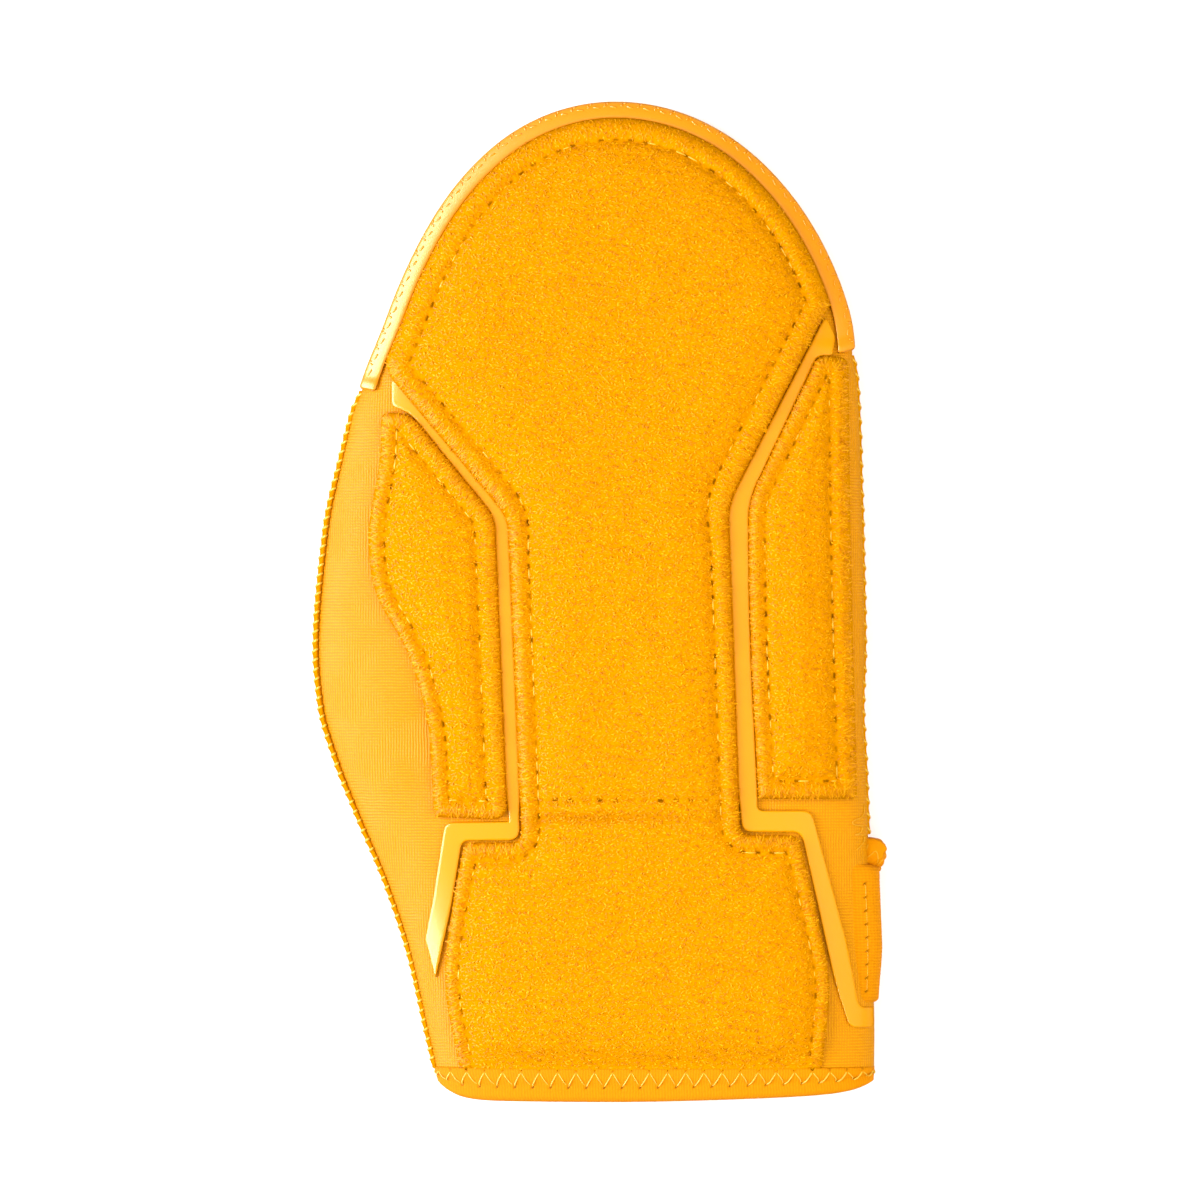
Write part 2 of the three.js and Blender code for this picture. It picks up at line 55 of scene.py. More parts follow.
# Sizes of the CAD model
TIP_Y = 140.0
WRIST_Y = -140.0
SPINE_X = 4.3
ARCH_Y = 40.0
ARCH_REACH = TIP_Y - ARCH_Y
CLEARANCE = 0.4
LAID_LIFT = 0.6
KNIT_WALL = 2.4
BUMPER_WALL = 1.8
BUMPER_LIP = 4.4
BUMPER_END = {"thumb": 59.4, "outer": 70.3}
TUCK = BUMPER_WALL + 1.5 * CLEARANCE
TUCK_STEP = 0.8
TUCK_EASE = (-7.0, -1.0)
TUCK_DROP = (0.0, 3.0)
SLEEVE_REACH = ARCH_REACH - TUCK
SIDE_BLEND = 30.0
BACK_SQUARE = 4.0
BACK_SINK = 1.5
PAD_INSET = 5.0
CREASE_Y = -61.0
SIDE_PAD_THICKNESS = 4.6
FILM_THICKNESS = 0.7
HEM_TOP_Y = -130.6
HEM_PROUD = 0.5
STRAP_SPAN = (-112.6, -76.0)
STRAP_THICKNESS = 2.2
TAB_SPAN = (-75.6, -66.6)
TAB_THICKNESS = 4.2

# Cross sections of the sleeve: half widths from the spine, heights of the crown and of the edge seam, and
# how square each shoulder is
SECTION_COLUMNS = ("y", "thumb", "outer", "crown", "seam", "thumb_square", "outer_square")
SECTIONS = (
    (-140, 48.6, 72.4, 31.5, 16.5, 3.0, 3.2),
    (-120, 53.2, 72.6, 32.0, 16.6, 2.9, 3.3),
    (-100, 57.7, 72.0, 32.6, 16.6, 2.8, 3.4),
    (-80, 64.2, 71.2, 33.5, 16.6, 2.6, 3.6),
    (-60, 72.6, 70.6, 34.5, 16.4, 2.5, 3.9),
    (-45, 78.5, 70.0, 35.0, 16.2, 2.4, 4.2),
    (-30, 82.8, 69.3, 35.0, 16.0, 2.4, 4.4),
    (-14, 84.2, 69.8, 34.6, 15.8, 2.4, 4.4),
    (20, 81.4, 69.2, 33.0, 15.2, 2.5, 4.4),
    (45, 75.9, 68.6, 31.0, 14.6, 3.0, 4.4),
    (62, 72.8, 69.4, 29.4, 14.0, 3.8, 4.4),
    (80, 69.8, 72.0, 27.4, 13.2, 4.4, 4.4),
    (100, 69.1, 72.8, 25.0, 12.3, 4.4, 4.4),
    (120, 69.7, 73.5, 22.6, 11.5, 4.4, 4.4),
    (140, 72.0, 75.0, 20.5, 11.0, 4.4, 4.4),
)
BACK_COLUMNS = ("y", "lift")
BACK = ((-140, 0.5), (-127, 0.5), (-114, 2.6), (-63, 2.6), (-50, 0), (22, 0), (38, 2.6), (140, 2.6))
CENTER_PAD_COLUMNS = ("y", "thickness")
CENTER_PAD = ((-140, 0.1), (-131, 0.1), (-123.5, 3), (-117, 4), (-66, 4), (-58, 5), (140, 5))

# Distance from a pad's edge to its line of stitches: by height on the centre pad, and on a side pad by which
# way the edge faces. It is evened out over a number of outline points
CENTER_STITCH_COLUMNS = ("y", "inset")
CENTER_STITCH = ((-140, 3.7), (-76, 3.9), (-62, 5.1), (12, 5.2), (32, 6.4), (140, 6.2))
SIDE_STITCH = 5.0
SIDE_STITCH_LEAN = 0.6
STITCH_EASE = 41

# Outline corners: x, y and the length that the rounding takes off the two sides
CENTER_PAD_ARCH = (82.5, 67.0)
CENTER_PAD_CORNERS = (
    (-59.2, 63, 2.5), (-25.6, 23, 5), (-21.7, -67.5, 3.5), (-37.8, -67.7, 3), (-41.6, -88, 9),
    (-43.9, -107, 9), (-39.1, -131.2, 0), (61.7, -131.2, 0), (64.6, -107, 10), (59.6, -84, 10),
    (55.2, -65.5, 3), (38.9, -65.3, 3), (35.6, 26.6, 5), (62.8, 80, 2.5),
)
THUMB_PAD_CORNERS = (
    (-61.2, 52.3, 2.5), (-53.2, 52.2, 4), (-29.4, 23.2, 4), (-25.8, -61.2, 4.5), (-46.2, -60.4, 1.5),
    (-47.6, -34, 9), (-53.2, -14.5, 8), (-63.6, 2.4, 8), (-65, 20, 8), (-61.1, 40, 6),
)
OUTER_PAD_CORNERS = (
    (71.7, -55.4, 1.5), (69.9, 12, 20), (69.4, 67.8, 3), (60.9, 68.2, 2.5), (41.4, 27.5, 6),
    (41.6, -8, 20), (44.1, -55.3, 1.5),
)
THUMB_FILM_CORNERS = (
    (-57.7, 61.3, 0), (-57.6, 54.6, 1), (-52.8, 52.8, 3), (-28.9, 23.4, 4), (-25.3, -61.7, 0),
    (-43.2, -62, 2.5), (-46.7, -84, 0), (-48.9, -94.6, 1), (-45.9, -105.6, 0.5), (-41.4, -85.5, 4),
    (-38.4, -67, 2), (-22.2, -66.9, 3.5), (-26, 22.8, 4),
)
OUTER_FILM_CORNERS = (
    (63, 78.2, 0), (65.2, 73.5, 1), (64.4, 68.8, 0), (60.4, 68.8, 2), (40.8, 27.7, 6), (41, -8, 16),
    (43.5, -58.8, 2), (58.9, -58.8, 2.5), (68.6, -94.6, 0), (72.4, -113.8, 2), (76.5, -113.8, 0),
    (76.5, -119.3, 0), (69.7, -119.3, 2), (65.5, -106.6, 6), (60.1, -82.4, 6), (56, -64.6, 2.5),
    (39.4, -64.5, 3), (36.1, 26.4, 5),
)

# Section of the bumper, from its front lip down the outside to its foot and back up the inside: distance
# inside the outline, and rise over the lip, the edge seam or the floor
BUMPER_PROFILE = (
    (5.0, "lip", 1.35), (4.8, "lip", 1.5), (4.4, "lip", 1.55), (3.6, "lip", 1.3), (2.6, "lip", 0.85),
    (1.6, "lip", 0.25), (0.7, "lip", -0.35), (0.15, "lip", -1.3), (0, "seam", 0.5), (0.1, "floor", 5),
    (0.6, "floor", 2), (2.2, "floor", 0.2), (4, "floor", 0), (8, "floor", 0), (9, "floor", 0.4),
    (9, "floor", 1.8), (8, "floor", 2.2), (4.2, "floor", 2.2), (2.4, "floor", 4.2), (1.8, "seam", 0),
    (2, "lip", -3.6), (2.8, "lip", -1.2), (4.6, "lip", -0.1),
)


def smooth(value, low, high):
    share = np.clip((value - low) / (high - low), 0, 1)
    return share * share * (3 - 2 * share)


def bell(distance, width):
    return np.exp(-((distance / width) ** 2))


def rounded_off(share):
    """Height of a quarter circle, from 0 where the share is 0 to 1 where it is 1 or more."""
    return np.sqrt(1 - (1 - np.clip(share, 0, 1)) ** 2)


def raised(low, share):
    """From low, where the share is 0, to 1, where it is 1."""
    return low + (1 - low) * share


def unit(vectors):
    return vectors / np.maximum(np.linalg.norm(vectors, axis=-1, keepdims=True), TINY)


def run_along(points):
    """Length along a line of points, from its start to each of them."""
    return np.concatenate([[0], np.cumsum(np.linalg.norm(np.diff(points, axis=0), axis=1))])


def quarter_points(line, following):
    """Two points on each step of a line, a quarter of its length from its ends."""
    pairs = np.stack([line * 0.75 + following * 0.25, line * 0.25 + following * 0.75], 1)
    return pairs.reshape(-1, line.shape[-1])


def curve_of(columns, rows, name):
    """Smooth curve through one column of a table, with no overshoot between its rows."""
    at = np.array([row[0] for row in rows], float)
    value = np.array([row[columns.index(name)] for row in rows], float)
    gap = np.diff(at)
    slope = np.diff(value) / gap
    before = np.concatenate([slope[:1], slope])
    after = np.concatenate([slope, slope[-1:]])
    same_way = before * after > 0
    tangent = np.where(same_way, 2 * before * after / np.where(same_way, before + after, 1), 0)

    def value_at(y):
        y = np.clip(y, at[0], at[-1])
        i = np.clip(np.searchsorted(at, y) - 1, 0, len(gap) - 1)
        t = (y - at[i]) / gap[i]
        bend = t * (1 - t) * gap[i] * (tangent[i] * (1 - t) - tangent[i + 1] * t)
        return value[i] + (value[i + 1] - value[i]) * t * t * (3 - 2 * t) + bend

    return value_at


half_width_of = {side: curve_of(SECTION_COLUMNS, SECTIONS, side) for side in ("thumb", "outer")}
square_of = {side: curve_of(SECTION_COLUMNS, SECTIONS, side + "_square") for side in ("thumb", "outer")}
crown_of = curve_of(SECTION_COLUMNS, SECTIONS, "crown")
seam_of = curve_of(SECTION_COLUMNS, SECTIONS, "seam")
lift_of = curve_of(BACK_COLUMNS, BACK, "lift")
center_thickness = curve_of(CENTER_PAD_COLUMNS, CENTER_PAD, "thickness")
center_stitch = curve_of(CENTER_STITCH_COLUMNS, CENTER_STITCH, "inset")


# The sleeve's surface

def sleeve_half(sign, y, inset=0.0):
    """Half width of the sleeve on the thumb side, sign -1, or the outer side, sign 1."""
    halves = []
    for side in ("thumb", "outer"):
        past = y - BUMPER_END[side]
        tuck = TUCK_STEP * smooth(past, *TUCK_EASE) + (TUCK - TUCK_STEP) * smooth(past, *TUCK_DROP)
        halves.append(half_width_of[side](y) - tuck)
    return np.where(sign < 0, *halves) - inset


def share_of(x, y, inset):
    """0 on the spine, 1 on the sleeve's edge."""
    across = (x - SPINE_X) / sleeve_half(np.where(x < SPINE_X, -1, 1), y, inset)
    along = np.maximum(0, y - ARCH_Y) / (SLEEVE_REACH - inset)
    return np.minimum(1, np.hypot(across, along))


def dome(share, square):
    return (1 - share ** square) ** (1 / square)


def front_height(x, y, inset=0.0):
    blend = smooth(x, SPINE_X - SIDE_BLEND, SPINE_X + SIDE_BLEND)
    square = square_of["thumb"](y) * (1 - blend) + square_of["outer"](y) * blend
    return seam_of(y) + (crown_of(y) - inset - seam_of(y)) * dome(share_of(x, y, inset), square)


def back_height(x, y, inset=0.0):
    low = lift_of(y) + inset
    drop = (seam_of(y) - low + BACK_SINK) * dome(share_of(x, y, inset), BACK_SQUARE)
    return np.maximum(low, seam_of(y) - drop)


EDGE_CROWDING = 2.4
TURN_SAMPLES = 1600


def skin(turn, y, grow):
    """Points round the sleeve. Turn 0 to 4 runs from the front's spine over the thumb edge, the back's spine
    and the outer edge to the front's spine."""
    turn, y, grow = np.broadcast_arrays(np.asarray(turn, float) % 4, y, grow)
    leg = np.minimum(np.floor(turn), 3)
    part = turn - leg
    share = 1 - np.where(leg % 2 == 0, 1 - part, part) ** EDGE_CROWDING
    sign = np.where(leg < 2, -1, 1)
    x = SPINE_X + sign * share * sleeve_half(sign, y, -grow)
    on_front = (leg == 0) | (leg == 3)
    z = np.where(on_front, front_height(x, y, -grow), back_height(x, y, -grow))
    return np.stack([x, y, z], -1)


def even_turns(first, last, y, grow, step, group=1):
    """Turns from first to last, with even steps between their points on the skin, in whole groups."""
    turns = np.linspace(first, last, TURN_SAMPLES)
    run = run_along(skin(turns, y, grow))
    count = group * max(1, round(run[-1] / (step * group))) + 1
    return np.interp(np.linspace(0, run[-1], count), run, turns)


def unevenness(x, y):
    """Slow waves that keep soft cloth from looking machined, about 1 high."""
    waves = ((0.11, 0.05, 0.3), (-0.06, 0.13, 1.7), (0.19, -0.08, 4.1), (0.05, 0.21, 2.6))
    return sum(np.sin(a * x + b * y + start) for a, b, start in waves) / 2


# Meshes

MERGE_DISTANCE = 1e-6
TUBE_END = 0.5
TUBE_SIDES = 6
TUBE_UPRIGHT = 1e-3


def grid_faces(rows, columns, loop_rows=False, loop_columns=False, start=0):
    """Quads between neighbouring rows and columns of points numbered row by row."""
    r = np.arange(rows if loop_rows else rows - 1)
    c = np.arange(columns if loop_columns else columns - 1)
    r, c = (a.ravel() for a in np.meshgrid(r, c, indexing="ij"))
    r_next, c_next = (r + 1) % rows, (c + 1) % columns
    quads = [r * columns + c, r * columns + c_next, r_next * columns + c_next, r_next * columns + c]
    return np.stack(quads, -1) + start


def capped_faces(rows, columns):
    """Faces of a closed tube whose rings are the rows of points: its wall and its two ends."""
    faces = grid_faces(rows, columns, loop_columns=True).tolist()
    first_ring = list(range(columns))
    last_ring = list(range((rows - 1) * columns, rows * columns))
    return faces + [first_ring[::-1], last_ring]


def make_piece(name, points, faces, material, slot, node=None, values=None, fabric=None, closed=True):
    """Smooth mesh that rides on the mitt. values are numbers for each point, and fabric is each point's place
    in the cloth, for its weave."""
    mesh = bpy.data.meshes.new(name)
    mesh.from_pydata((np.asarray(points) * MM).tolist(), [], [list(face) for face in faces])
    for key, numbers in (values or {}).items():
        layer = mesh.attributes.new(key, "FLOAT", "POINT")
        layer.data.foreach_set("value", np.asarray(numbers, np.float32).ravel())
    if fabric is not None:
        corner = np.zeros(len(mesh.loops), int)
        mesh.loops.foreach_get("vertex_index", corner)
        layer = mesh.uv_layers.new(name="fabric")
        layer.data.foreach_set("uv", np.asarray(fabric, np.float32)[corner].ravel())
    if closed:
        work = bmesh.new()
        work.from_mesh(mesh)
        bmesh.ops.remove_doubles(work, verts=work.verts, dist=MERGE_DISTANCE)
        bmesh.ops.recalc_face_normals(work, faces=work.faces)
        work.to_mesh(mesh)
        work.free()
    mesh.shade_smooth()
    mesh.materials.append(material)
    piece = bpy.data.objects.new(name, mesh)
    bpy.context.scene.collection.objects.link(piece)
    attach(piece, "root")
    if node:
        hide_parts(node)
    return piece


def tubes(paths, radius):
    """Points and faces of closed tubes along paths of equal length, with the ends drawn in."""
    paths = np.asarray(paths, float)
    count, steps = paths.shape[:2]
    along = unit(np.gradient(paths, axis=1))
    across = np.cross(along, (0.0, 0.0, 1.0))
    flat = np.linalg.norm(across, axis=-1, keepdims=True) > TUBE_UPRIGHT
    across = unit(np.where(flat, across, (1.0, 0.0, 0.0)))
    above = np.cross(across, along)
    angle = np.linspace(0, 2 * np.pi, TUBE_SIDES, endpoint=False)
    thick = np.full(steps, radius)
    thick[[0, -1]] *= TUBE_END
    ring = across[:, :, None] * np.cos(angle)[:, None] + above[:, :, None] * np.sin(angle)[:, None]
    points = paths[:, :, None] + ring * thick[:, None, None]
    one = capped_faces(steps, TUBE_SIDES)
    starts = range(0, count * steps * TUBE_SIDES, steps * TUBE_SIDES)
    faces = [[start + index for index in face] for start in starts for face in one]
    return points.reshape(-1, 3), faces


def joined(parts):
    """One list of points and one of faces from several."""
    points, faces, start = [], [], 0
    for part_points, part_faces in parts:
        points.append(np.asarray(part_points))
        faces.extend([[index + start for index in face] for face in part_faces])
        start += len(part_points)
    return np.concatenate(points), faces


# Outlines of pads and films

ROUND_STEPS = 9
HEX_ROW = 0.866
FILL_INSIDE = 1
FILL_EPSILON = 1e-5


def resample(points, step, closed):
    """Evenly spaced points along a line of points."""
    points = np.asarray(points, float)
    if closed:
        points = np.concatenate([points, points[:1]])
    run = run_along(points)
    count = max(2, round(run[-1] / step))
    at = np.linspace(0, run[-1], count, endpoint=False) if closed else np.linspace(0, run[-1], count + 1)
    return np.stack([np.interp(at, run, points[:, k]) for k in range(points.shape[1])], -1)


def rounded(corners):
    """Closed line through corners, each rounded by a curve."""
    line = []
    spots = np.array([corner[:2] for corner in corners], float)
    for i, (_, _, size) in enumerate(corners):
        here = spots[i]
        before = here + unit(spots[i - 1] - here) * size
        after = here + unit(spots[(i + 1) % len(spots)] - here) * size
        for t in np.linspace(0, 1, ROUND_STEPS if size else 1):
            line.append(before * (1 - t) ** 2 + here * 2 * t * (1 - t) + after * t * t)
    return np.array(line)


def arch_point(angle, inset):
    """Point of the mitt's outline in the fingertip arch, moved inwards."""
    y = ARCH_Y + (ARCH_REACH - inset) * np.sin(angle)
    half = np.where(angle > np.pi / 2, half_width_of["thumb"](y), half_width_of["outer"](y))
    return np.stack([SPINE_X + (half - inset) * np.cos(angle), y], -1)


def arch_angle(y, inset):
    return np.arcsin((y - ARCH_Y) / (ARCH_REACH - inset))


class Outline:
    """Closed outline with evenly spaced points, the inward direction at each, and distances to it. Where it
    is cut off straight at the hem, that cut isn't an edge that distances count from."""

    step = 0.25
    coarse_step = 1.0
    reach = 3
    slack = 0.06

    def __init__(self, line, cut_y=-np.inf):
        line = np.asarray(line)
        following = np.roll(line, -1, axis=0)
        if (line[:, 0] * following[:, 1] - following[:, 0] * line[:, 1]).sum() < 0:
            line = line[::-1]
        points = resample(line, self.step, closed=True)
        self.points = np.roll(points, -int(points[:, 1].argmin()), axis=0)
        along = unit(np.roll(self.points, -self.reach, axis=0) - np.roll(self.points, self.reach, axis=0))
        self.inward = np.stack([-along[:, 1], along[:, 0]], -1)
        self.is_edge = self.points[:, 1] > cut_y
        self.edge = np.flatnonzero(self.is_edge)
        self.tree = kdtree.KDTree(len(self.edge))
        for i in self.edge:
            self.tree.insert((*self.points[i], 0.0), int(i))
        self.tree.balance()

    def nearest(self, spots):
        """Number of the nearest point of the edge, and the distance to it, for each spot."""
        found = [self.tree.find((x, y, 0.0)) for x, y in spots]
        return np.array([hit[1] for hit in found]), np.array([hit[2] for hit in found])

    def distance(self, spots):
        return self.nearest(spots)[1]

    def inset_line(self, inset, step):
        """Line inside the outline at some distance from each point of its edge, evenly spaced, in order."""
        inset = np.broadcast_to(inset, len(self.edge))
        spots = self.points[self.edge] + self.inward[self.edge] * inset[:, None]
        kept = spots[self.distance(spots) > inset - self.slack]
        return resample(kept, step, closed=bool(self.is_edge.all()))

    def holds(self, spots):
        """Whether each spot is inside the outline."""
        polygon = resample(self.points, self.coarse_step, closed=True)
        following = np.roll(polygon, -1, axis=0)
        inside = np.zeros(len(spots), bool)
        for (x0, y0), (x1, y1) in zip(polygon, following):
            if y0 != y1:
                crosses = (spots[:, 1] >= y0) != (spots[:, 1] >= y1)
                inside ^= crosses & (spots[:, 0] < x0 + (spots[:, 1] - y0) * (x1 - x0) / (y1 - y0))
        return inside


def hex_spots(outline, spacing, jitter=0.0):
    """Spots of a triangular grid inside an outline."""
    low, high = outline.points.min(axis=0), outline.points.max(axis=0)
    rows = np.arange(low[1], high[1], spacing * HEX_ROW)
    columns = np.arange(low[0], high[0] + spacing, spacing)
    x, y = np.meshgrid(columns, rows)
    x = x + (np.arange(len(rows)) % 2)[:, None] * spacing / 2
    spots = np.stack([x.ravel(), y.ravel()], -1)
    spots += random.uniform(-jitter, jitter, spots.shape)
    return spots[outline.holds(spots)]


def filled(rim, inner):
    """Spots and triangles that fill a closed rim, using the inner spots as corners."""
    spots = [Vector(spot) for spot in np.concatenate([rim, inner])]
    made = delaunay_2d_cdt(spots, [], [list(range(len(rim)))], FILL_INSIDE, FILL_EPSILON)
    return np.array([tuple(spot) for spot in made[0]]), np.array(made[2])


def laid_solid(rim, inner, coarse, top_of, base_of, tuck):
    """Closed solid over the sleeve: a finely divided top, a coarse underside and a wall that tucks in
    below."""
    top_spots, top_faces = filled(rim, inner)
    low_rim = rim + tuck
    low_spots, low_faces = filled(low_rim, coarse)
    top = np.column_stack([top_spots, top_of(top_spots)])
    low = np.column_stack([low_spots, base_of(low_spots)])
    start = len(top)
    steps = np.arange(len(rim))
    following = (steps + 1) % len(rim)
    wall = np.stack([steps, following, following + start, steps + start], -1)
    faces = top_faces.tolist() + (low_faces[:, ::-1] + start).tolist() + wall.tolist()
    return np.concatenate([top, low]), faces, start


# Materials

BASE_COLOUR = {row["slot"]: row["base_color"] for row in frame["record"]["materials"]}
# Dark colour that the shade attribute mixes in: painted shade in needle holes, grooves, the crease and under
# the fringe
PAINTED_SHADE_TONE = (0.1, 0.08)


def tone(slot, red, green, blue=0.1):
    """A slot's colour from the record, with each channel scaled."""
    base = BASE_COLOUR[slot]
    return (base[0] * red, base[1] * green, base[2] * blue, 1.0)


class Finish:
    """Node material under construction: a height between 0 and 1 drives its colour and its bump."""

    wander_size = 5.0

    def __init__(self, name, roughness, specular):
        self.material = bpy.data.materials.new(name)
        self.material.use_nodes = True
        self.tree = self.material.node_tree
        self.shader = self.tree.nodes["Principled BSDF"]
        self.shader.inputs["Roughness"].default_value = roughness
        self.shader.inputs["Specular IOR Level"].default_value = specular

    def node(self, kind, inputs, **settings):
        made = self.tree.nodes.new(kind)
        for key, value in settings.items():
            setattr(made, key, value)
        for key, value in inputs.items():
            if isinstance(value, bpy.types.NodeSocket):
                self.tree.links.new(value, made.inputs[key])
            else:
                made.inputs[key].default_value = value
        return made

    def math(self, operation, first, second):
        return self.node("ShaderNodeMath", {0: first, 1: second}, operation=operation).outputs[0]

    def noise(self, size, detail=2.0, coordinates=None):
        """Noise with grains of about one size, in millimetres."""
        place = coordinates or self.node("ShaderNodeTexCoord", {}).outputs["Object"]
        inputs = {"Vector": place, "Scale": 1 / (size * MM), "Detail": detail}
        return self.node("ShaderNodeTexNoise", inputs).outputs["Fac"]

    def attribute(self, name):
        return self.node("ShaderNodeAttribute", {}, attribute_name=name).outputs["Fac"]

    def ribs(self, axis, pitch, wander=0.0):
        """Rounded ribs across one axis of the cloth, between 0 and 1, that wander sideways by some."""
        place = self.node("ShaderNodeUVMap", {}, uv_map="fabric").outputs[0]
        along = self.node("ShaderNodeSeparateXYZ", {0: place}).outputs[axis]
        if wander:
            along = self.math("ADD", along, self.math("MULTIPLY", self.noise(self.wander_size), wander))
        wave = self.math("SINE", self.math("MULTIPLY", along, 2 * np.pi / pitch), 0.0)
        return self.math("ADD", self.math("MULTIPLY", wave, 0.5), 0.5)

    def mixed(self, share, first, second):
        """One number to another with the share."""
        return self.node("ShaderNodeMix", {0: share, 2: first, 3: second}).outputs[0]

    def total(self, *parts):
        """Sum of heights, each times its share."""
        result = 0.0
        for height, share in parts:
            result = self.math("ADD", result, self.math("MULTIPLY", height, share))
        return result

    def colour(self, height, low, high, shade=None, dark=None):
        """Colour from low to high with the height, and towards dark with the painted shade."""
        ramp = self.node("ShaderNodeValToRGB", {0: height})
        ramp.color_ramp.elements[0].color = low
        ramp.color_ramp.elements[1].color = high
        result = ramp.outputs[0]
        if shade is not None:
            inputs = {0: shade, 6: result, 7: dark}
            result = self.node("ShaderNodeMix", inputs, data_type="RGBA").outputs[2]
        self.tree.links.new(result, self.shader.inputs["Base Color"])

    def bump(self, height, depth):
        made = self.node("ShaderNodeBump", {"Height": height, "Distance": depth * MM, "Strength": 1.0})
        self.tree.links.new(made.outputs[0], self.shader.inputs["Normal"])


def knit_finish():
    """Wales and courses of loops, stronger by turns in patches, with a fine grain."""
    made = Finish("knit", roughness=0.45, specular=0.06)
    wales = made.ribs(axis=0, pitch=0.8, wander=0.5)
    courses = made.ribs(axis=1, pitch=0.84, wander=0.5)
    patches = made.node("ShaderNodeMapRange", {0: made.noise(size=13.0), 1: 0.4, 2: 0.6}).outputs[0]
    by_turns = made.mixed(patches, wales, courses)
    loops = made.math("MULTIPLY", wales, courses)
    height = made.total((by_turns, 0.4), (loops, 0.35), (made.noise(size=0.9), 0.35))
    made.colour(height, tone("knit", 0.52, 0.36), tone("knit", 0.65, 0.6))
    made.bump(height, depth=0.2)
    return made.material


def terry_finish():
    made = Finish("terry", roughness=0.95, specular=0.0)
    height = made.noise(size=1.1, detail=3.0)
    # The tones are darker than the pile's: painted shade on the pad body where it shows between the fibres
    made.colour(
        height, tone("terry", 0.48, 0.41), tone("terry", 0.68, 0.65),
        made.attribute("shade"), tone("terry", *PAINTED_SHADE_TONE),
    )
    made.bump(height, depth=0.6)
    return made.material


def pile_finish():
    made = Finish("pile", roughness=0.45, specular=0.07)
    # The tone attribute is each fibre's own tone, with painted shade at its ends and along its sides
    made.colour(made.attribute("tone"), tone("terry", 0.5, 0.37), tone("terry", 0.88, 1.01))
    made.bump(made.noise(size=0.25), depth=0.08)
    return made.material


def woven_finish(slot, ribs, grain, grain_share, depth, low, high):
    """Cloth with a grain and with ribs, with painted shade in its needle holes. Each set of ribs has an axis,
    a pitch, a wander and a share of the height."""
    made = Finish(slot, roughness=0.85, specular=0.05)
    rib_parts = [(made.ribs(axis, pitch, wander), share) for axis, pitch, wander, share in ribs]
    height = made.total((made.noise(grain), grain_share), *rib_parts)
    made.colour(height, tone(slot, *low), tone(slot, *high), made.attribute("shade"), tone(slot, *PAINTED_SHADE_TONE))
    made.bump(height, depth)
    return made.material


def plain_finish(name, roughness, specular, blotch, grain, depth, low, high, detail=3.0):
    """Moulded or spun surface, with blotches of colour and a fine grain."""
    made = Finish(name, roughness, specular)
    made.colour(made.noise(blotch), low, high)
    made.bump(made.noise(grain, detail), depth)
    return made.material


def thread_finish(name, low, high):
    return plain_finish(
        name, roughness=0.5, specular=0.3, blotch=0.5, grain=0.2, depth=0.05, low=low, high=high, detail=2.0)


KNIT = knit_finish()
TERRY = terry_finish()
PILE = pile_finish()
FILM = plain_finish(
    "film", roughness=0.25, specular=0.36, blotch=24.0, grain=0.35, depth=0.02,
    low=tone("film", 0.66, 0.57), high=tone("film", 0.7, 0.61),
)
RUBBER = plain_finish(
    "rubber", roughness=0.36, specular=0.42, blotch=18.0, grain=0.5, depth=0.03,
    low=tone("rubber", 0.66, 0.51), high=tone("rubber", 0.7, 0.55),
)
BINDING = woven_finish(
    "binding", ribs=((0, 0.8, 1.0, 0.4),), grain=0.8, grain_share=0.6, depth=0.12,
    low=(0.54, 0.41), high=(0.65, 0.58),
)
ELASTIC = woven_finish(
    "elastic", ribs=((1, 0.85, 0.6, 0.45), (0, 0.8, 0.6, 0.2)), grain=1.0, grain_share=0.35, depth=0.18,
    low=(0.54, 0.43), high=(0.68, 0.63),
)
THREAD = thread_finish("thread", low=tone("knit", 0.64, 0.7), high=tone("knit", 0.72, 1.0, 5.0))
STRAP_THREAD = thread_finish("strap_thread", low=tone("knit", 0.6, 0.54), high=tone("knit", 0.68, 0.68))


# Knit sleeve

STRAIGHT_STEPS = 130
ARCH_STEPS = 150
SPAN_STEPS = 44
LENGTH_SAMPLES = 28
WRIST_CUT_Y = HEM_TOP_Y - 0.8
KNIT_WAVE = 0.28
KNIT_WAVE_FADE = 8
SEAM_GAP = 0.05


def crowded(count):
    """Shares from 0 to 1, closer together towards 1."""
    return 1 - (1 - np.linspace(0, 1, count)) ** EDGE_CROWDING


def edge_stations(inset):
    """Points on the spine and on the edge, from the outer wrist corner over the fingertips to the thumb's."""
    straight = np.linspace(WRIST_CUT_Y, ARCH_Y, STRAIGHT_STEPS, endpoint=False)
    angle = np.linspace(0, np.pi, ARCH_STEPS + 1)
    y = np.concatenate([straight, ARCH_Y + (SLEEVE_REACH - inset) * np.sin(angle), straight[::-1]])
    side = np.ones(STRAIGHT_STEPS)
    sign = np.concatenate([side, np.where(angle > np.pi / 2, -1, 1), -side])
    lean = np.concatenate([side, np.abs(np.cos(angle)), side])
    edge = np.stack([SPINE_X + sign * lean * sleeve_half(sign, y, inset), y], -1)
    spine = np.stack([np.full_like(y, SPINE_X), np.minimum(y, ARCH_Y)], -1)
    return spine, edge


def across_length(height_of, x, y):
    """Length along the cloth from the spine to each point."""
    run_x = SPINE_X + (x - SPINE_X)[..., None] * crowded(LENGTH_SAMPLES)
    run_z = height_of(run_x, np.broadcast_to(y[..., None], run_x.shape))
    steps = np.hypot(np.diff(run_x, axis=-1), np.diff(run_z, axis=-1)).sum(axis=-1)
    return np.sign(x - SPINE_X) * steps


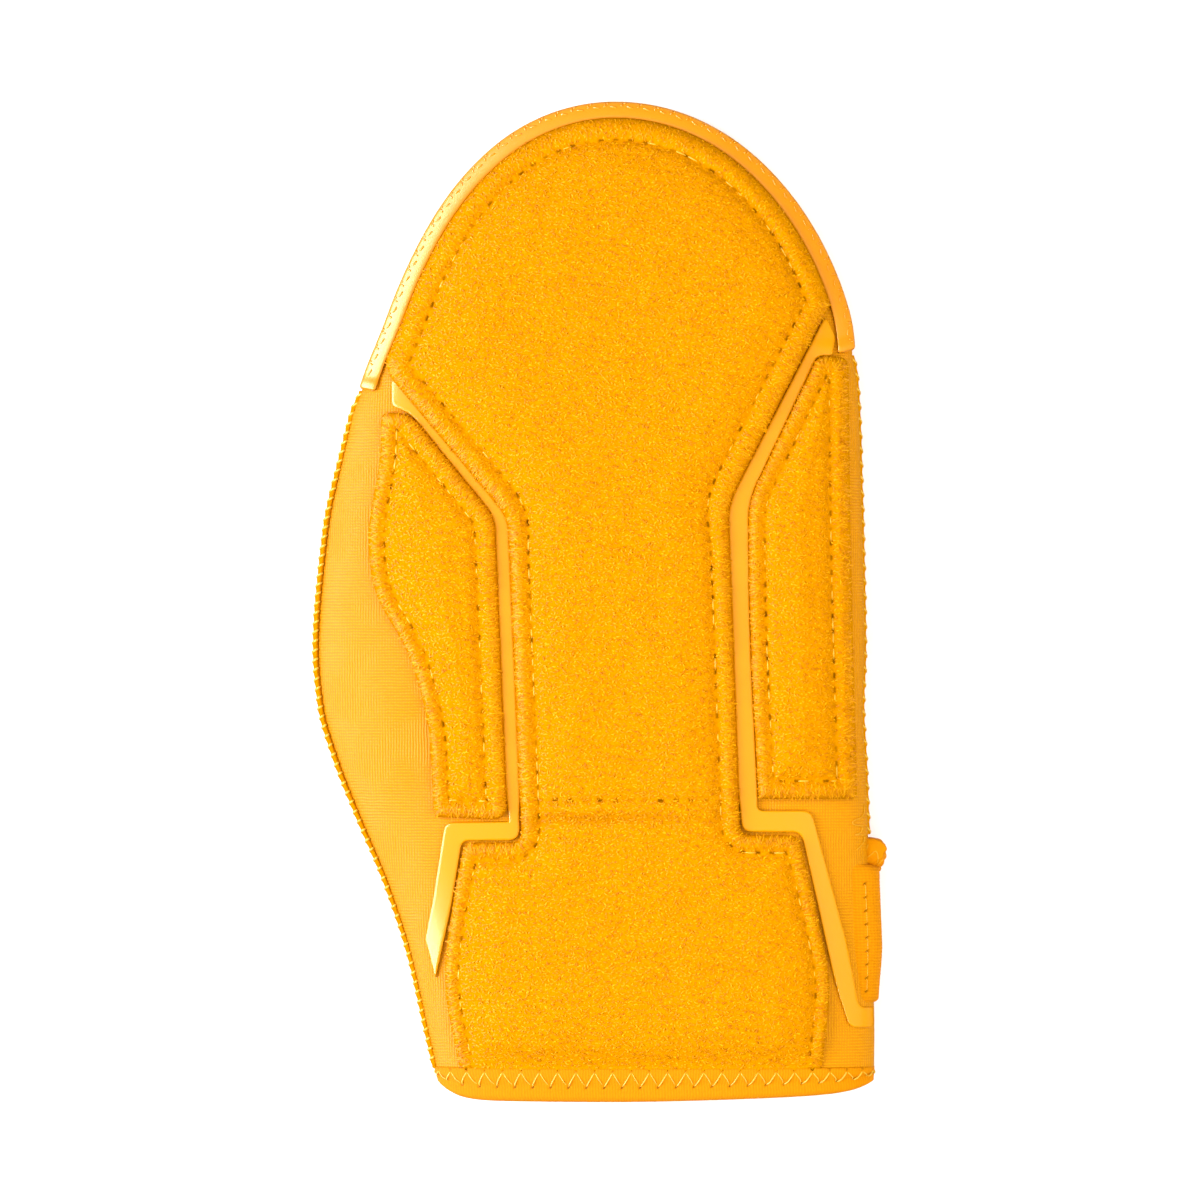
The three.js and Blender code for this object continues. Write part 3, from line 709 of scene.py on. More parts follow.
def sleeve_piece(name, node, height_of, seam_step):
    shares = crowded(SPAN_STEPS + 1)
    skins, fabrics = [], []
    for inset in (0.0, KNIT_WALL):
        spine, edge = edge_stations(inset)
        spots = spine[:, None] + (edge - spine)[:, None] * shares[None, :, None]
        x, y = spots[..., 0], spots[..., 1]
        wave = KNIT_WAVE * unevenness(x, y) * (1 - shares ** KNIT_WAVE_FADE)
        z = height_of(x, y, inset) + (wave if height_of is front_height else 0)
        z[:, -1] = seam_of(y[:, -1]) + seam_step
        skins.append(np.stack([x, y, z], -1))
        fabrics.append(np.stack([across_length(height_of, x, y), y], -1))
    stations, columns = skins[0].shape[:2]
    size = stations * columns
    outside = grid_faces(stations, columns)
    inside = grid_faces(stations, columns, start=size)[:, ::-1]
    rim = np.arange(stations) * columns + columns - 1
    rim_faces = np.stack([rim[1:], rim[:-1], rim[:-1] + size, rim[1:] + size], -1)
    ends = []
    for row in (0, stations - 1):
        at = row * columns + np.arange(columns)
        ends.append(np.stack([at[1:], at[:-1], at[:-1] + size, at[1:] + size], -1))
    faces = np.concatenate([outside, inside, rim_faces, *ends]).tolist()
    points = np.concatenate([s.reshape(-1, 3) for s in skins])
    fabric = np.concatenate([f.reshape(-1, 2) for f in fabrics])
    return make_piece(name, points, faces, KNIT, "knit", node=node, fabric=fabric)


front_knit = sleeve_piece("front_knit", "front_shell", front_height, SEAM_GAP)
back_knit = sleeve_piece("back_knit", "back_shell", back_height, -SEAM_GAP)


# Finger bumper

BUMPER_STEPS = 240
BUMPER_END_ROUND = 0.85
BUMPER_END_STEPS = 5
ARCH_SAMPLES = 4000

# Rows of the profile on the bumper's front face, from the edge inwards
BUMPER_FACE = slice(7, 2, -1)
DASH_STEPS = 7
DASH_PITCH = 4.8
DASH_MARGINS = (3.0, 5.0)
DASH_RADIUS = 0.3
DASH_SINK = 0.25

# Both ends of each dash in a group: run along the rim, and distance inside the outline
DASHES = (((0.0, 0.7), (0.15, 1.8)), ((1.4, 2.1), (3.5, 1.5)), ((-0.9, 0.5), (-0.7, 1.0)))


def corner_cut(loop):
    """Closed profile with its corners cut, again and again, towards a smooth curve."""
    for _ in range(CORNER_CUTS):
        loop = quarter_points(loop, np.roll(loop, -1, axis=0))
    return loop


def bumper_heights(angle):
    lip_at = arch_point(angle, BUMPER_LIP)
    lip = front_height(lip_at[:, 0], lip_at[:, 1]) + CLEARANCE
    return {"lip": lip, "seam": seam_of(lip_at[:, 1]), "floor": np.zeros_like(lip)}


def bumper_angles():
    first = arch_angle(BUMPER_END["outer"], 0)
    last = np.pi - arch_angle(BUMPER_END["thumb"], 0)
    angles = np.linspace(first, last, ARCH_SAMPLES)
    return angles, run_along(arch_point(angles, 0.0))


def finger_bumper():
    angles, run = bumper_angles()
    near = BUMPER_END_ROUND * (1 - np.cos(np.linspace(0, np.pi / 2, BUMPER_END_STEPS)))
    inner = np.linspace(BUMPER_END_ROUND, run[-1] - BUMPER_END_ROUND, BUMPER_STEPS)
    at = np.concatenate([near[:-1], inner, run[-1] - near[:-1][::-1]])
    short_of = np.maximum(0, BUMPER_END_ROUND - np.minimum(at, run[-1] - at))
    drawn_in = BUMPER_END_ROUND - np.sqrt(np.maximum(0, BUMPER_END_ROUND ** 2 - short_of ** 2))
    angle = np.interp(at, run, angles)
    heights = bumper_heights(angle)
    rings = []
    for i in range(len(angle)):
        section = np.array([(inset, heights[base][i] + rise) for inset, base, rise in BUMPER_PROFILE])
        section = corner_cut(section)
        along = unit(np.roll(section, -1, axis=0) - np.roll(section, 1, axis=0))
        section = section + np.stack([-along[:, 1], along[:, 0]], -1) * drawn_in[i]
        spots = arch_point(np.full(len(section), angle[i]), section[:, 0])
        rings.append(np.column_stack([spots, section[:, 1]]))
    rings = np.array(rings)
    rows, columns = rings.shape[:2]
    faces = capped_faces(rows, columns)
    return make_piece("bumper_rim", rings.reshape(-1, 3), faces, RUBBER, "rubber", node="finger_bumper")


def bumper_dashes():
    """Small raised dashes moulded on the rim: two short ones and a long slanted one, again and again."""
    angles, run = bumper_angles()
    starts = np.arange(DASH_MARGINS[0], run[-1] - DASH_MARGINS[1], DASH_PITCH)
    face_inset, _, face_rise = zip(*BUMPER_PROFILE[BUMPER_FACE])
    share = np.linspace(0, 1, DASH_STEPS)
    paths = []
    for (first_run, first_inset), (last_run, last_inset) in DASHES:
        along = starts[:, None] + first_run + (last_run - first_run) * share
        inset = np.broadcast_to(first_inset + (last_inset - first_inset) * share, along.shape)
        angle = np.interp(along, run, angles)
        spots = arch_point(angle, inset)
        lip = bumper_heights(angle.ravel())["lip"].reshape(angle.shape)
        rise = np.interp(inset, face_inset, face_rise)
        sink = DASH_SINK * (2 * share - 1) ** 4
        paths.append(np.stack([spots[..., 0], spots[..., 1], lip + rise - sink], -1))
    points, faces = tubes(np.concatenate(paths), DASH_RADIUS)
    return make_piece("bumper_dashes", points, faces, RUBBER, "rubber")


finger_bumper()
bumper_dashes()


# Terry pads

ROLL = 3.4
EDGE_SHARE = 0.4
BORDER_SHARE = 0.76
CROWN_RUN = 11.0
WALL_TUCK = 0.4
EDGE_RINGS = (0.12, 0.4, 0.8, 1.3, 1.9)
RIM_STEP = 0.7
TOP_SPACING = 0.85
UNDER_SPACING = 5.0
STITCH_PITCH = 4.1
STITCH_STEPS = 8
STITCH_RADIUS = 0.2
HOLE_DEPTH = 0.6
HOLE_RADIUS = 0.36
GROOVE_DEPTH = 1.1
GROOVE_WIDTH = 1.6
PAD_WAVE = 0.14
PAD_WAVE_SCALE = 2.2
CREASE_DEPTH = 1.1
CREASE_WIDTH = 2.0
# Painted shade along the crease: its strength and its width
CREASE_SHADE = 0.25
CREASE_SHADE_WIDTH = 1.2
CREASE_START_X = (-21.0, -14.0)
CREASE_FADE_X = (0.0, 30.0)
CREASE_FADE = 0.75
CROSS_DEPTH = 0.7
CROSS_WIDTH = 1.3
CROSS_ENDS = (-2.0, 1.0)
CROSS_STITCH_Y = -55.7
CROSS_STITCH_SPAN = (-16.7, 33.7)
SEWN_TO_Y = -127.0
SEWN_EASE = 2.0
SEWN_STEP = 0.5
BESIDE_SEAM = (-0.6, 0.6)
PAD_CUT_Y = HEM_TOP_Y + 0.6
PAD_ARCH_STEPS = 120
EDGE_ROOM = 0.4
SEAM_ROOM = 1.0
CROSS_ROOM = 0.5
UNDER_ROOM = 2.5
# Painted shade on the pad body near its edge, under the fringe fibres, and the run over which it fades
UNDER_FIBRE_SHADE = 0.2
UNDER_FIBRE_SHADE_RUN = (0.3, 1.6)
HOLE_OPEN = (0.1, 0.95)
STITCH_LIFTS = ((-0.6, 0.12), (-0.9, -0.2))
STITCH_DIP = 1.3
STITCH_DIP_POWER = 2.5

# Loops of pile. The ranges are of a loop's length, sideways bend, height and half width
PILE_SPACING = 1.06
PILE_JITTER = 0.35
PILE_LIP_ROOM = 0.2
PILE_EDGE_ROOM = 0.6
PILE_SEAM_ROOM = 0.4
PILE_HEM_ROOM = 0.2
PILE_TURNS = (0.5, 0.7)
PILE_RANGES = ((0.9, 1.7), (-0.5, 0.5), (0.2, 0.75), (0.16, 0.27))
PILE_TONE_SPREAD = 0.24
PILE_ROOT = 0.12
PILE_SIDE_DROP = 0.12
PILE_RIDGE = 0.06
PILE_END_WIDTH = 0.5
# Painted shade on each loop of pile: the share of its tone left at its ends, and on its two sides
PILE_END_SHADE = 0.45
PILE_SIDE_SHADE = 0.7
FIBRE_ROUND = 0.6

# Fibres of the fringe, from where they start inside the edge to where they end just over it
FRINGE_SPACING = 0.26
FRINGE_SCATTER = 0.15
FRINGE_START = (0.9, 3.6)
FRINGE_LENGTH = (1.2, 2.6)
FRINGE_SLANT = 0.34
FRINGE_CURL = 0.3
FRINGE_OVER = (0.0, 0.45)
FRINGE_WIDTH = (0.12, 0.24)
FRINGE_LIFT = (0.1, 0.55)
FRINGE_TONE_SPREAD = 0.26
FRINGE_HANG = 0.2
FRINGE_ROWS = (0.0, 0.35, 0.7, 1.0)
FRINGE_RIM = 0.05
FRINGE_FACE = 0.4
FRINGE_BOW_START = 0.1
FRINGE_BOW_RUN = 0.75
FRINGE_TAPER = 0.5
FRINGE_SIDE_DROP = 0.1
# Painted shade on each fringe fibre: the share of its tone left at its root, and on its two sides
FRINGE_ROOT_SHADE = 0.6
FRINGE_SIDE_SHADE = 0.65


class Pad:
    """Padded terry panel: its outline, its thickness, and the line of stitches inside its edge."""

    def __init__(self, node, line, stitch_of, thickness_of, cut_y=-np.inf, creased=False):
        self.node = node
        self.outline = Outline(line, cut_y)
        self.thickness_of = thickness_of
        self.creased = creased
        wanted = stitch_of(self.outline)
        wrapped = np.concatenate([wanted[-(STITCH_EASE // 2) :], wanted, wanted[: STITCH_EASE // 2]])
        self.stitch_inset = np.convolve(wrapped, np.full(STITCH_EASE, 1 / STITCH_EASE), "valid")
        sewn = self.outline.inset_line(self.stitch_inset[self.outline.edge], SEWN_STEP)
        sewn = sewn[sewn[:, 1] > SEWN_TO_Y]
        self.seams = [self.stitched(sewn, bool(self.outline.is_edge.all()))]
        if creased:
            cross = np.array([(x, CROSS_STITCH_Y) for x in CROSS_STITCH_SPAN])
            self.seams.append(self.stitched(cross, False))

    def stitched(self, line, closed):
        """A seam's spots, a whole number of them to each stitch."""
        if closed:
            line = np.concatenate([line, line[:1]])
        length = np.linalg.norm(np.diff(line, axis=0), axis=1).sum()
        stitches = max(2, round(length / STITCH_PITCH))
        return resample(line, length / (stitches * STITCH_STEPS), closed=False)

    def top(self, spots):
        """Height of the pad's face at each spot: a rolled border, a sewn groove and a crowned middle."""
        x, y = spots[:, 0], spots[:, 1]
        index, inset = self.outline.nearest(spots)
        thickness = self.thickness_of(y)
        border = BORDER_SHARE * raised(EDGE_SHARE, rounded_off(inset / ROLL))
        past_seam = inset - self.stitch_inset[index]
        crown = (1 - BORDER_SHARE) * smooth(past_seam, 0, CROWN_RUN)
        groove = GROOVE_DEPTH * bell(past_seam, GROOVE_WIDTH)
        if self.creased:
            inside = smooth(past_seam, *CROSS_ENDS)
            groove = np.maximum(groove, CROSS_DEPTH * inside * bell(y - CROSS_STITCH_Y, CROSS_WIDTH))
            groove = groove + CREASE_DEPTH * self.creased_at(x) * bell(y - CREASE_Y, CREASE_WIDTH)
        sewn = smooth(y, SEWN_TO_Y - SEWN_EASE, SEWN_TO_Y + SEWN_EASE)
        wave = PAD_WAVE * unevenness(PAD_WAVE_SCALE * x, PAD_WAVE_SCALE * y)
        return front_height(x, y) + LAID_LIFT + thickness * (border + crown) + (wave - groove) * sewn

    def creased_at(self, x):
        """How far the crease shows: strong on the thumb side, and fading to the other side."""
        return smooth(x, *CREASE_START_X) * (1 - CREASE_FADE * smooth(x, *CREASE_FADE_X))

    def normal(self, spots):
        step = 0.3
        slopes = []
        for axis in ((step, 0.0), (0.0, step)):
            slopes.append((self.top(spots + axis) - self.top(spots - axis)) / (2 * step))
        return unit(np.stack([-slopes[0], -slopes[1], np.ones(len(spots))], -1))

    def base(self, spots):
        return front_height(spots[:, 0], spots[:, 1]) + LAID_LIFT

    def body(self):
        rim_index = np.arange(0, len(self.outline.points), round(RIM_STEP / Outline.step))
        rim = self.outline.points[rim_index]
        tuck = self.outline.inward[rim_index] * WALL_TUCK
        rings = [self.outline.inset_line(inset, RIM_STEP) for inset in EDGE_RINGS]
        at_edge = self.stitch_inset[self.outline.edge]
        beside = [self.outline.inset_line(at_edge + aside, RIM_STEP) for aside in BESIDE_SEAM]
        grid = hex_spots(self.outline, TOP_SPACING)
        index, inset = self.outline.nearest(grid)
        off_seam = np.abs(inset - self.stitch_inset[index])
        clear = (inset > EDGE_RINGS[-1] + EDGE_ROOM) & (off_seam > SEAM_ROOM)
        if self.creased:
            clear &= np.abs(grid[:, 1] - CROSS_STITCH_Y) > CROSS_ROOM
        inner = np.concatenate([*rings, *beside, *self.seams, grid[clear]])
        inner = inner[self.outline.holds(inner)]
        coarse = hex_spots(self.outline, UNDER_SPACING)
        coarse = coarse[self.outline.distance(coarse) > UNDER_ROOM]
        points, faces, start = laid_solid(rim, inner, coarse, self.top, self.base, tuck)
        shade = np.zeros(len(points))
        holes = self.hole_shade(points[:start, :2])
        points[:start, 2] -= HOLE_DEPTH * holes
        edge_distance = self.outline.distance(points[:start, :2])
        # Painted shade: at the needle holes, and near the edge under the fringe
        shade[:start] = np.maximum(holes, UNDER_FIBRE_SHADE * (1 - smooth(edge_distance, *UNDER_FIBRE_SHADE_RUN)))
        return make_piece(self.node + "_terry", points, faces, TERRY, "terry", self.node, {"shade": shade})

    def hole_shade(self, spots):
        """Painted shade: near 1 at the needle holes, and a little in the crease."""
        marks = []
        for seam in self.seams:
            for at in range(0, len(seam), STITCH_STEPS):
                marks.append(seam[max(0, at - 1) : at + 2])
        tree = kdtree.KDTree(sum(len(mark) for mark in marks))
        for i, mark in enumerate(marks):
            for x, y in mark:
                tree.insert((x, y, 0.0), i)
        tree.balance()
        found = [tree.find((x, y, 0.0)) for x, y in spots]
        far = np.array([hit[2] for hit in found])
        open_share = random.uniform(*HOLE_OPEN, len(marks))[[hit[1] for hit in found]]
        shade = open_share * bell(far, HOLE_RADIUS)
        if self.creased:
            crease = self.creased_at(spots[:, 0]) * bell(spots[:, 1] - CREASE_Y, CREASE_SHADE_WIDTH)
            shade = np.maximum(shade, CREASE_SHADE * crease)
        return shade

    def stitches(self):
        """Thread along each seam, dipping into the cloth at every hole, some of it sunk in the pile."""
        paths = []
        dip = STITCH_DIP * np.abs(np.linspace(-1, 1, STITCH_STEPS + 1)) ** STITCH_DIP_POWER
        for seam, lifts in zip(self.seams, STITCH_LIFTS):
            heights = self.top(seam)
            for first in range(0, len(seam) - STITCH_STEPS, STITCH_STEPS):
                part = slice(first, first + STITCH_STEPS + 1)
                lift = random.uniform(*lifts)
                paths.append(np.column_stack([seam[part], heights[part] + lift - dip]))
        return tubes(np.array(paths), STITCH_RADIUS)

    def pile(self):
        """Short loops of pile, as ribbons with a raised middle: square to the edge on the rolled border, and
        mostly across the mitt inside it."""
        spots = hex_spots(self.outline, PILE_SPACING, PILE_JITTER)
        index, inset = self.outline.nearest(spots)
        past_seam = inset - self.stitch_inset[index]
        kept = inset > np.where(on_lip(spots), PILE_LIP_ROOM, PILE_EDGE_ROOM)
        kept &= np.abs(past_seam) > PILE_SEAM_ROOM
        kept &= spots[:, 1] > HEM_TOP_Y + PILE_HEM_ROOM
        spots, index, past_seam = spots[kept], index[kept], past_seam[kept]
        count = len(spots)
        up = self.normal(spots)
        inward = self.outline.inward[index]
        on_border = past_seam < 0
        square_on = np.arctan2(inward[:, 1], inward[:, 0])
        angle = np.where(on_border, square_on, 0.0)
        angle += random.normal(0, 1, count) * np.where(on_border, *PILE_TURNS)
        along = np.stack([np.cos(angle), np.sin(angle), np.zeros(count)], -1)
        along = unit(along - up * (along * up).sum(axis=1, keepdims=True))
        across = np.cross(up, along)
        middle = np.column_stack([spots, self.top(spots)])
        length, bend, height, width = (random.uniform(*span, (count, 1)) for span in PILE_RANGES)
        tone_of = np.clip(random.normal(0.5, PILE_TONE_SPREAD, count), 0, 1)
        rows, tones_and_shade, normals = [], [], []
        for share in (-1.0, 0.0, 1.0):
            bow = 1 - share * share
            at = middle + along * length * share / 2 + across * bend * bow + up * (height * bow - PILE_ROOT)
            spread = across * width * raised(PILE_END_WIDTH, bow)
            low = at - up * PILE_SIDE_DROP
            rows.append(np.stack([low - spread, at + up * PILE_RIDGE, low + spread], 1))
            # Painted shade: each loop is darker towards its ends, where it goes into the pile, and along its
            # sides
            painted_side_shade = (PILE_SIDE_SHADE, 1.0, PILE_SIDE_SHADE)
            tones_and_shade.append(np.outer(tone_of * raised(PILE_END_SHADE, bow), painted_side_shade))
            lean = up + along * FIBRE_ROUND * share
            normals.append(np.stack([lean - across * FIBRE_ROUND, lean, lean + across * FIBRE_ROUND], 1))
        return ribbons(np.stack(rows, 1), np.stack(tones_and_shade, 1), np.stack(normals, 1))

    def fringe(self):
        """Fibres that run over the rolled border, roughly square to the edge, and end just past it. Along
        the bumper there are none."""
        edge = self.outline.edge[~on_lip(self.outline.points[self.outline.edge])]
        count = int(len(edge) * Outline.step / FRINGE_SPACING)
        picks = random.choice(edge, size=count)
        rim = self.outline.points[picks] + random.normal(0, FRINGE_SCATTER, (count, 2))
        inward = self.outline.inward[picks]
        aside = np.stack([inward[:, 1], -inward[:, 0]], -1)
        start, length = (random.uniform(*span, (count, 1)) for span in (FRINGE_START, FRINGE_LENGTH))
        slant, curl = (random.normal(0, spread, (count, 1)) for spread in (FRINGE_SLANT, FRINGE_CURL))
        over, width = (random.uniform(*span, (count, 1)) for span in (FRINGE_OVER, FRINGE_WIDTH))
        lift = random.uniform(*FRINGE_LIFT, count)
        tone_of = np.clip(random.normal(0.5, FRINGE_TONE_SPREAD, count), 0, 1)
        hang = FRINGE_HANG * self.thickness_of(rim[:, 1])
        sideways_lean = np.column_stack([aside, np.zeros(count)]) * FIBRE_ROUND
        rows, tones_and_shade, normals = [], [], []
        for share in FRINGE_ROWS:
            inset = np.maximum(start - length * share, -over)
            sideways = aside * (slant * length * share + curl * np.sin(np.pi * share))
            at = rim + inward * inset + sideways
            on_pad = rim + inward * np.maximum(inset, FRINGE_RIM) + sideways
            up = self.normal(rim + inward * np.maximum(inset, FRINGE_FACE) + sideways)
            bow = np.sin(np.pi * (FRINGE_BOW_START + FRINGE_BOW_RUN * share))
            height = self.top(on_pad) + lift * bow - hang * share * (inset[:, 0] < FRINGE_RIM)
            spread = aside * width * (1 - FRINGE_TAPER * share)
            edges = []
            for part in (-1, 0, 1):
                edges.append(np.column_stack([at + spread * part, height - FRINGE_SIDE_DROP * abs(part)]))
            rows.append(np.stack(edges, 1))
            # Painted shade: each fibre is darker at its root inside the border and along its sides
            painted_side_shade = (FRINGE_SIDE_SHADE, 1.0, FRINGE_SIDE_SHADE)
            tones_and_shade.append(np.outer(tone_of * raised(FRINGE_ROOT_SHADE, share), painted_side_shade))
            normals.append(np.stack([up - sideways_lean, up, up + sideways_lean], 1))
        return ribbons(np.stack(rows, 1), np.stack(tones_and_shade, 1), np.stack(normals, 1))


def on_lip(spots):
    """Whether each spot is along the bumper's lip."""
    arch_y = np.where(spots[:, 0] < SPINE_X, CENTER_PAD_ARCH[1], CENTER_PAD_ARCH[0])
    return spots[:, 1] > arch_y


def ribbons(points, tones_and_shade, normals):
    """Points, faces, tone numbers with painted shade, and normals of many ribbons, from arrays by ribbon, row
    and column.
    """
    count, rows, columns = points.shape[:3]
    one = grid_faces(rows, columns)[:, ::-1]
    faces = (one[None] + np.arange(count)[:, None, None] * rows * columns).reshape(-1, 4)
    return points.reshape(-1, 3), faces, tones_and_shade.ravel(), unit(normals.reshape(-1, 3))


def center_pad_line():
    first = arch_angle(CENTER_PAD_ARCH[0], PAD_INSET)
    last = np.pi - arch_angle(CENTER_PAD_ARCH[1], PAD_INSET)
    arch = arch_point(np.linspace(first, last, PAD_ARCH_STEPS), PAD_INSET)
    corners = [(x, y, 0) for x, y in arch] + list(CENTER_PAD_CORNERS)
    return rounded(corners)


def side_thickness(y):
    return np.full_like(y, SIDE_PAD_THICKNESS)


def center_stitches(outline):
    return center_stitch(outline.points[:, 1])


def side_stitches(outline):
    return SIDE_STITCH - SIDE_STITCH_LEAN * outline.inward[:, 0]


pads = [
    Pad("center_pad", center_pad_line(), center_stitches, center_thickness, PAD_CUT_Y, creased=True),
    Pad("thumb_side_pad", rounded(THUMB_PAD_CORNERS), side_stitches, side_thickness),
    Pad("outer_side_pad", rounded(OUTER_PAD_CORNERS), side_stitches, side_thickness),
]
pad_stitches = []
for pad in pads:
    pad.body()
    pad_stitches.append(pad.stitches())
    for kind, (points, faces, tones_and_shade, normals) in (("_pile", pad.pile()), ("_fringe", pad.fringe())):
        name = pad.node + kind
        fibres = make_piece(name, points, faces, PILE, "terry", values={"tone": tones_and_shade}, closed=False)
        fibres.data.normals_split_custom_set_from_vertices(normals)
make_piece("pad_stitches", *joined(pad_stitches), THREAD, "knit", closed=False)


# Film strips

FILM_ROUND = 0.35
FILM_RINGS = (0.1, 0.35, 0.8, 1.3)
FILM_SPACING = 0.9
FILM_ROOM = 0.4
FILM_SINK = 0.4
FILM_EDGE_SHARE = 0.45
FILM_SPREAD = 0.6
CHANNEL_LOW_Y = (-62.0, -52.0)
CHANNEL_HIGH_Y = (46.0, 56.0)
CHANNEL_RISE = 0.4


def film_strip(name, node, corners):
    """Thin strip on the knit. In the channel between two pads it is wider and puffed up, and reaches the
    pads' feet."""
    cut = Outline(rounded(corners))
    spread = FILM_SPREAD * smooth(cut.points[:, 1], *CHANNEL_LOW_Y)
    outline = Outline(cut.points - cut.inward * spread[:, None])
    rim = outline.points[:: round(RIM_STEP / Outline.step)]
    rings = [outline.inset_line(inset, RIM_STEP) for inset in FILM_RINGS]
    grid = hex_spots(outline, FILM_SPACING)
    grid = grid[outline.distance(grid) > FILM_RINGS[-1] + FILM_ROOM]
    inner = np.concatenate([*rings, grid])
    inner = inner[outline.holds(inner)]

    def top(spots):
        x, y = spots[:, 0], spots[:, 1]
        edge = rounded_off(outline.distance(spots) / FILM_ROUND)
        rise = FILM_THICKNESS * raised(FILM_EDGE_SHARE, edge)
        rise += CHANNEL_RISE * smooth(y, *CHANNEL_LOW_Y) * (1 - smooth(y, *CHANNEL_HIGH_Y))
        return front_height(x, y) + LAID_LIFT + rise

    def base(spots):
        return front_height(spots[:, 0], spots[:, 1]) + LAID_LIFT - FILM_SINK

    points, faces, _ = laid_solid(rim, inner, grid, top, base, np.zeros_like(rim))
    return make_piece(name, points, faces, FILM, "film", node=node)


thumb_film = film_strip("thumb_film", "thumb_side_film", THUMB_FILM_CORNERS)
outer_film = film_strip("outer_film", "outer_side_film", OUTER_FILM_CORNERS)


# Wrist binding

HEM_CORNER_RISE = {"thumb": 4.6, "outer": 2.8}
HEM_CORNER_CROWDING = 14.0
HEM_SLOPE_RISE = {"thumb": 0.4, "outer": 2.4}
HEM_SLOPE_POWER = 1.6
HEM_MIDDLE_Y = -135.0
HEM_STEPS = 9
HEM_LOW_STEPS = 5
HEM_LIP_SINK = 0.5
HEM_OUTSIDE = 0.2
HEM_PUFF = 0.3
HEM_DIP = 0.45
HEM_DIP_WIDTH = 1.6
HEM_HOLE_DEPTH = 0.7
HEM_HOLE_SHADE = 0.9
HEM_PULL_DEPTH = 0.25
HEM_PULL_SHADE = 0.4
HEM_CORNER_DRAW = 0.7
HEM_TURNS = (2.0, 6.0)
ZIGZAG_PITCH = 5.05
ZIGZAG_STEPS = 8
ZIGZAG_TOP_Y = -131.6
ZIGZAG_HOLE_Y = -135.9
ZIGZAG_LEG_STEPS = 9
ZIGZAG_RISE_SHARE = 0.6
ZIGZAG_BOW = 0.42
ZIGZAG_BOW_SPAN = (0.08, 0.92)
ZIGZAG_SINK = 0.9

# Steps from a top to its two holes, with the thread's radius and the share of the leg where it starts to sink
ZIGZAG_LEGS = ((-ZIGZAG_STEPS // 2, 0.14, 0.6), (ZIGZAG_STEPS // 2, 0.2, 0.8))


def hem_corner(turn):
    """0 on the spine, 1 at the binding's two corners."""
    part = np.asarray(turn) % 2
    return 1 - np.abs(1 - part) ** EDGE_CROWDING


def hem_rise(turn):
    """The binding's lower edge climbs to its two corners."""
    share = hem_corner(turn)
    on_thumb = np.asarray(turn) % 4 < 2
    slope = np.where(on_thumb, HEM_SLOPE_RISE["thumb"], HEM_SLOPE_RISE["outer"]) * share ** HEM_SLOPE_POWER
    corner = np.where(on_thumb, HEM_CORNER_RISE["thumb"], HEM_CORNER_RISE["outer"])
    return slope + corner * share ** HEM_CORNER_CROWDING


def hem_turns():
    """Places round the mouth from the middle of the back, a whole number of them to each zigzag."""
    return even_turns(*HEM_TURNS, HEM_MIDDLE_Y, HEM_PROUD, ZIGZAG_PITCH / ZIGZAG_STEPS, ZIGZAG_STEPS)


def wrist_hem():
    turns = hem_turns()[:-1]
    inner = -KNIT_WALL - HEM_PROUD
    mid, half = (HEM_PROUD + inner) / 2, (HEM_PROUD - inner) / 2
    fold_y = WRIST_Y + half
    fold = np.linspace(0, np.pi, HEM_STEPS)[1:-1]
    sewn = np.linspace(HEM_TOP_Y, ZIGZAG_HOLE_Y, HEM_STEPS)
    below = np.linspace(ZIGZAG_HOLE_Y, fold_y, HEM_LOW_STEPS)[1:]
    profile = [(HEM_TOP_Y, HEM_PROUD - HEM_LIP_SINK)]
    profile += [(y, HEM_PROUD) for y in (*sewn, *below)]
    profile += [(fold_y - half * np.sin(a), mid + half * np.cos(a)) for a in fold]
    profile += [(y, inner) for y in np.linspace(fold_y, HEM_TOP_Y, HEM_STEPS)]
    level, grow = np.array(profile).T
    y = level + hem_rise(turns)[:, None] * smooth(-level, -HEM_TOP_Y, -fold_y)
    phase = (np.arange(len(turns)) % ZIGZAG_STEPS)[:, None]
    outside = grow > HEM_OUTSIDE
    hole = (phase == 0) & (level == ZIGZAG_HOLE_Y) & outside
    pulled = (phase == ZIGZAG_STEPS // 2) & (level > ZIGZAG_TOP_Y)
    puff = HEM_PUFF - HEM_DIP * bell(level - ZIGZAG_HOLE_Y, HEM_DIP_WIDTH)
    draw = HEM_CORNER_DRAW * hem_corner(turns)[:, None] ** HEM_CORNER_CROWDING
    grow = grow + (puff - draw) * outside - HEM_HOLE_DEPTH * hole - HEM_PULL_DEPTH * pulled
    points = skin(turns[:, None], y, grow)
    rows, columns = points.shape[:2]
    faces = grid_faces(rows, columns, loop_rows=True, loop_columns=True)
    run = np.arange(rows) * ZIGZAG_PITCH / ZIGZAG_STEPS
    fabric = np.stack(np.broadcast_arrays(run[:, None], y), -1).reshape(-1, 2)
    # Painted shade in the needle holes and in the pulled dents at the zigzag's tops
    values = {"shade": HEM_HOLE_SHADE * hole + HEM_PULL_SHADE * pulled}
    points = points.reshape(-1, 3)
    return make_piece("hem_binding", points, faces, BINDING, "binding", "wrist_hem", values, fabric)


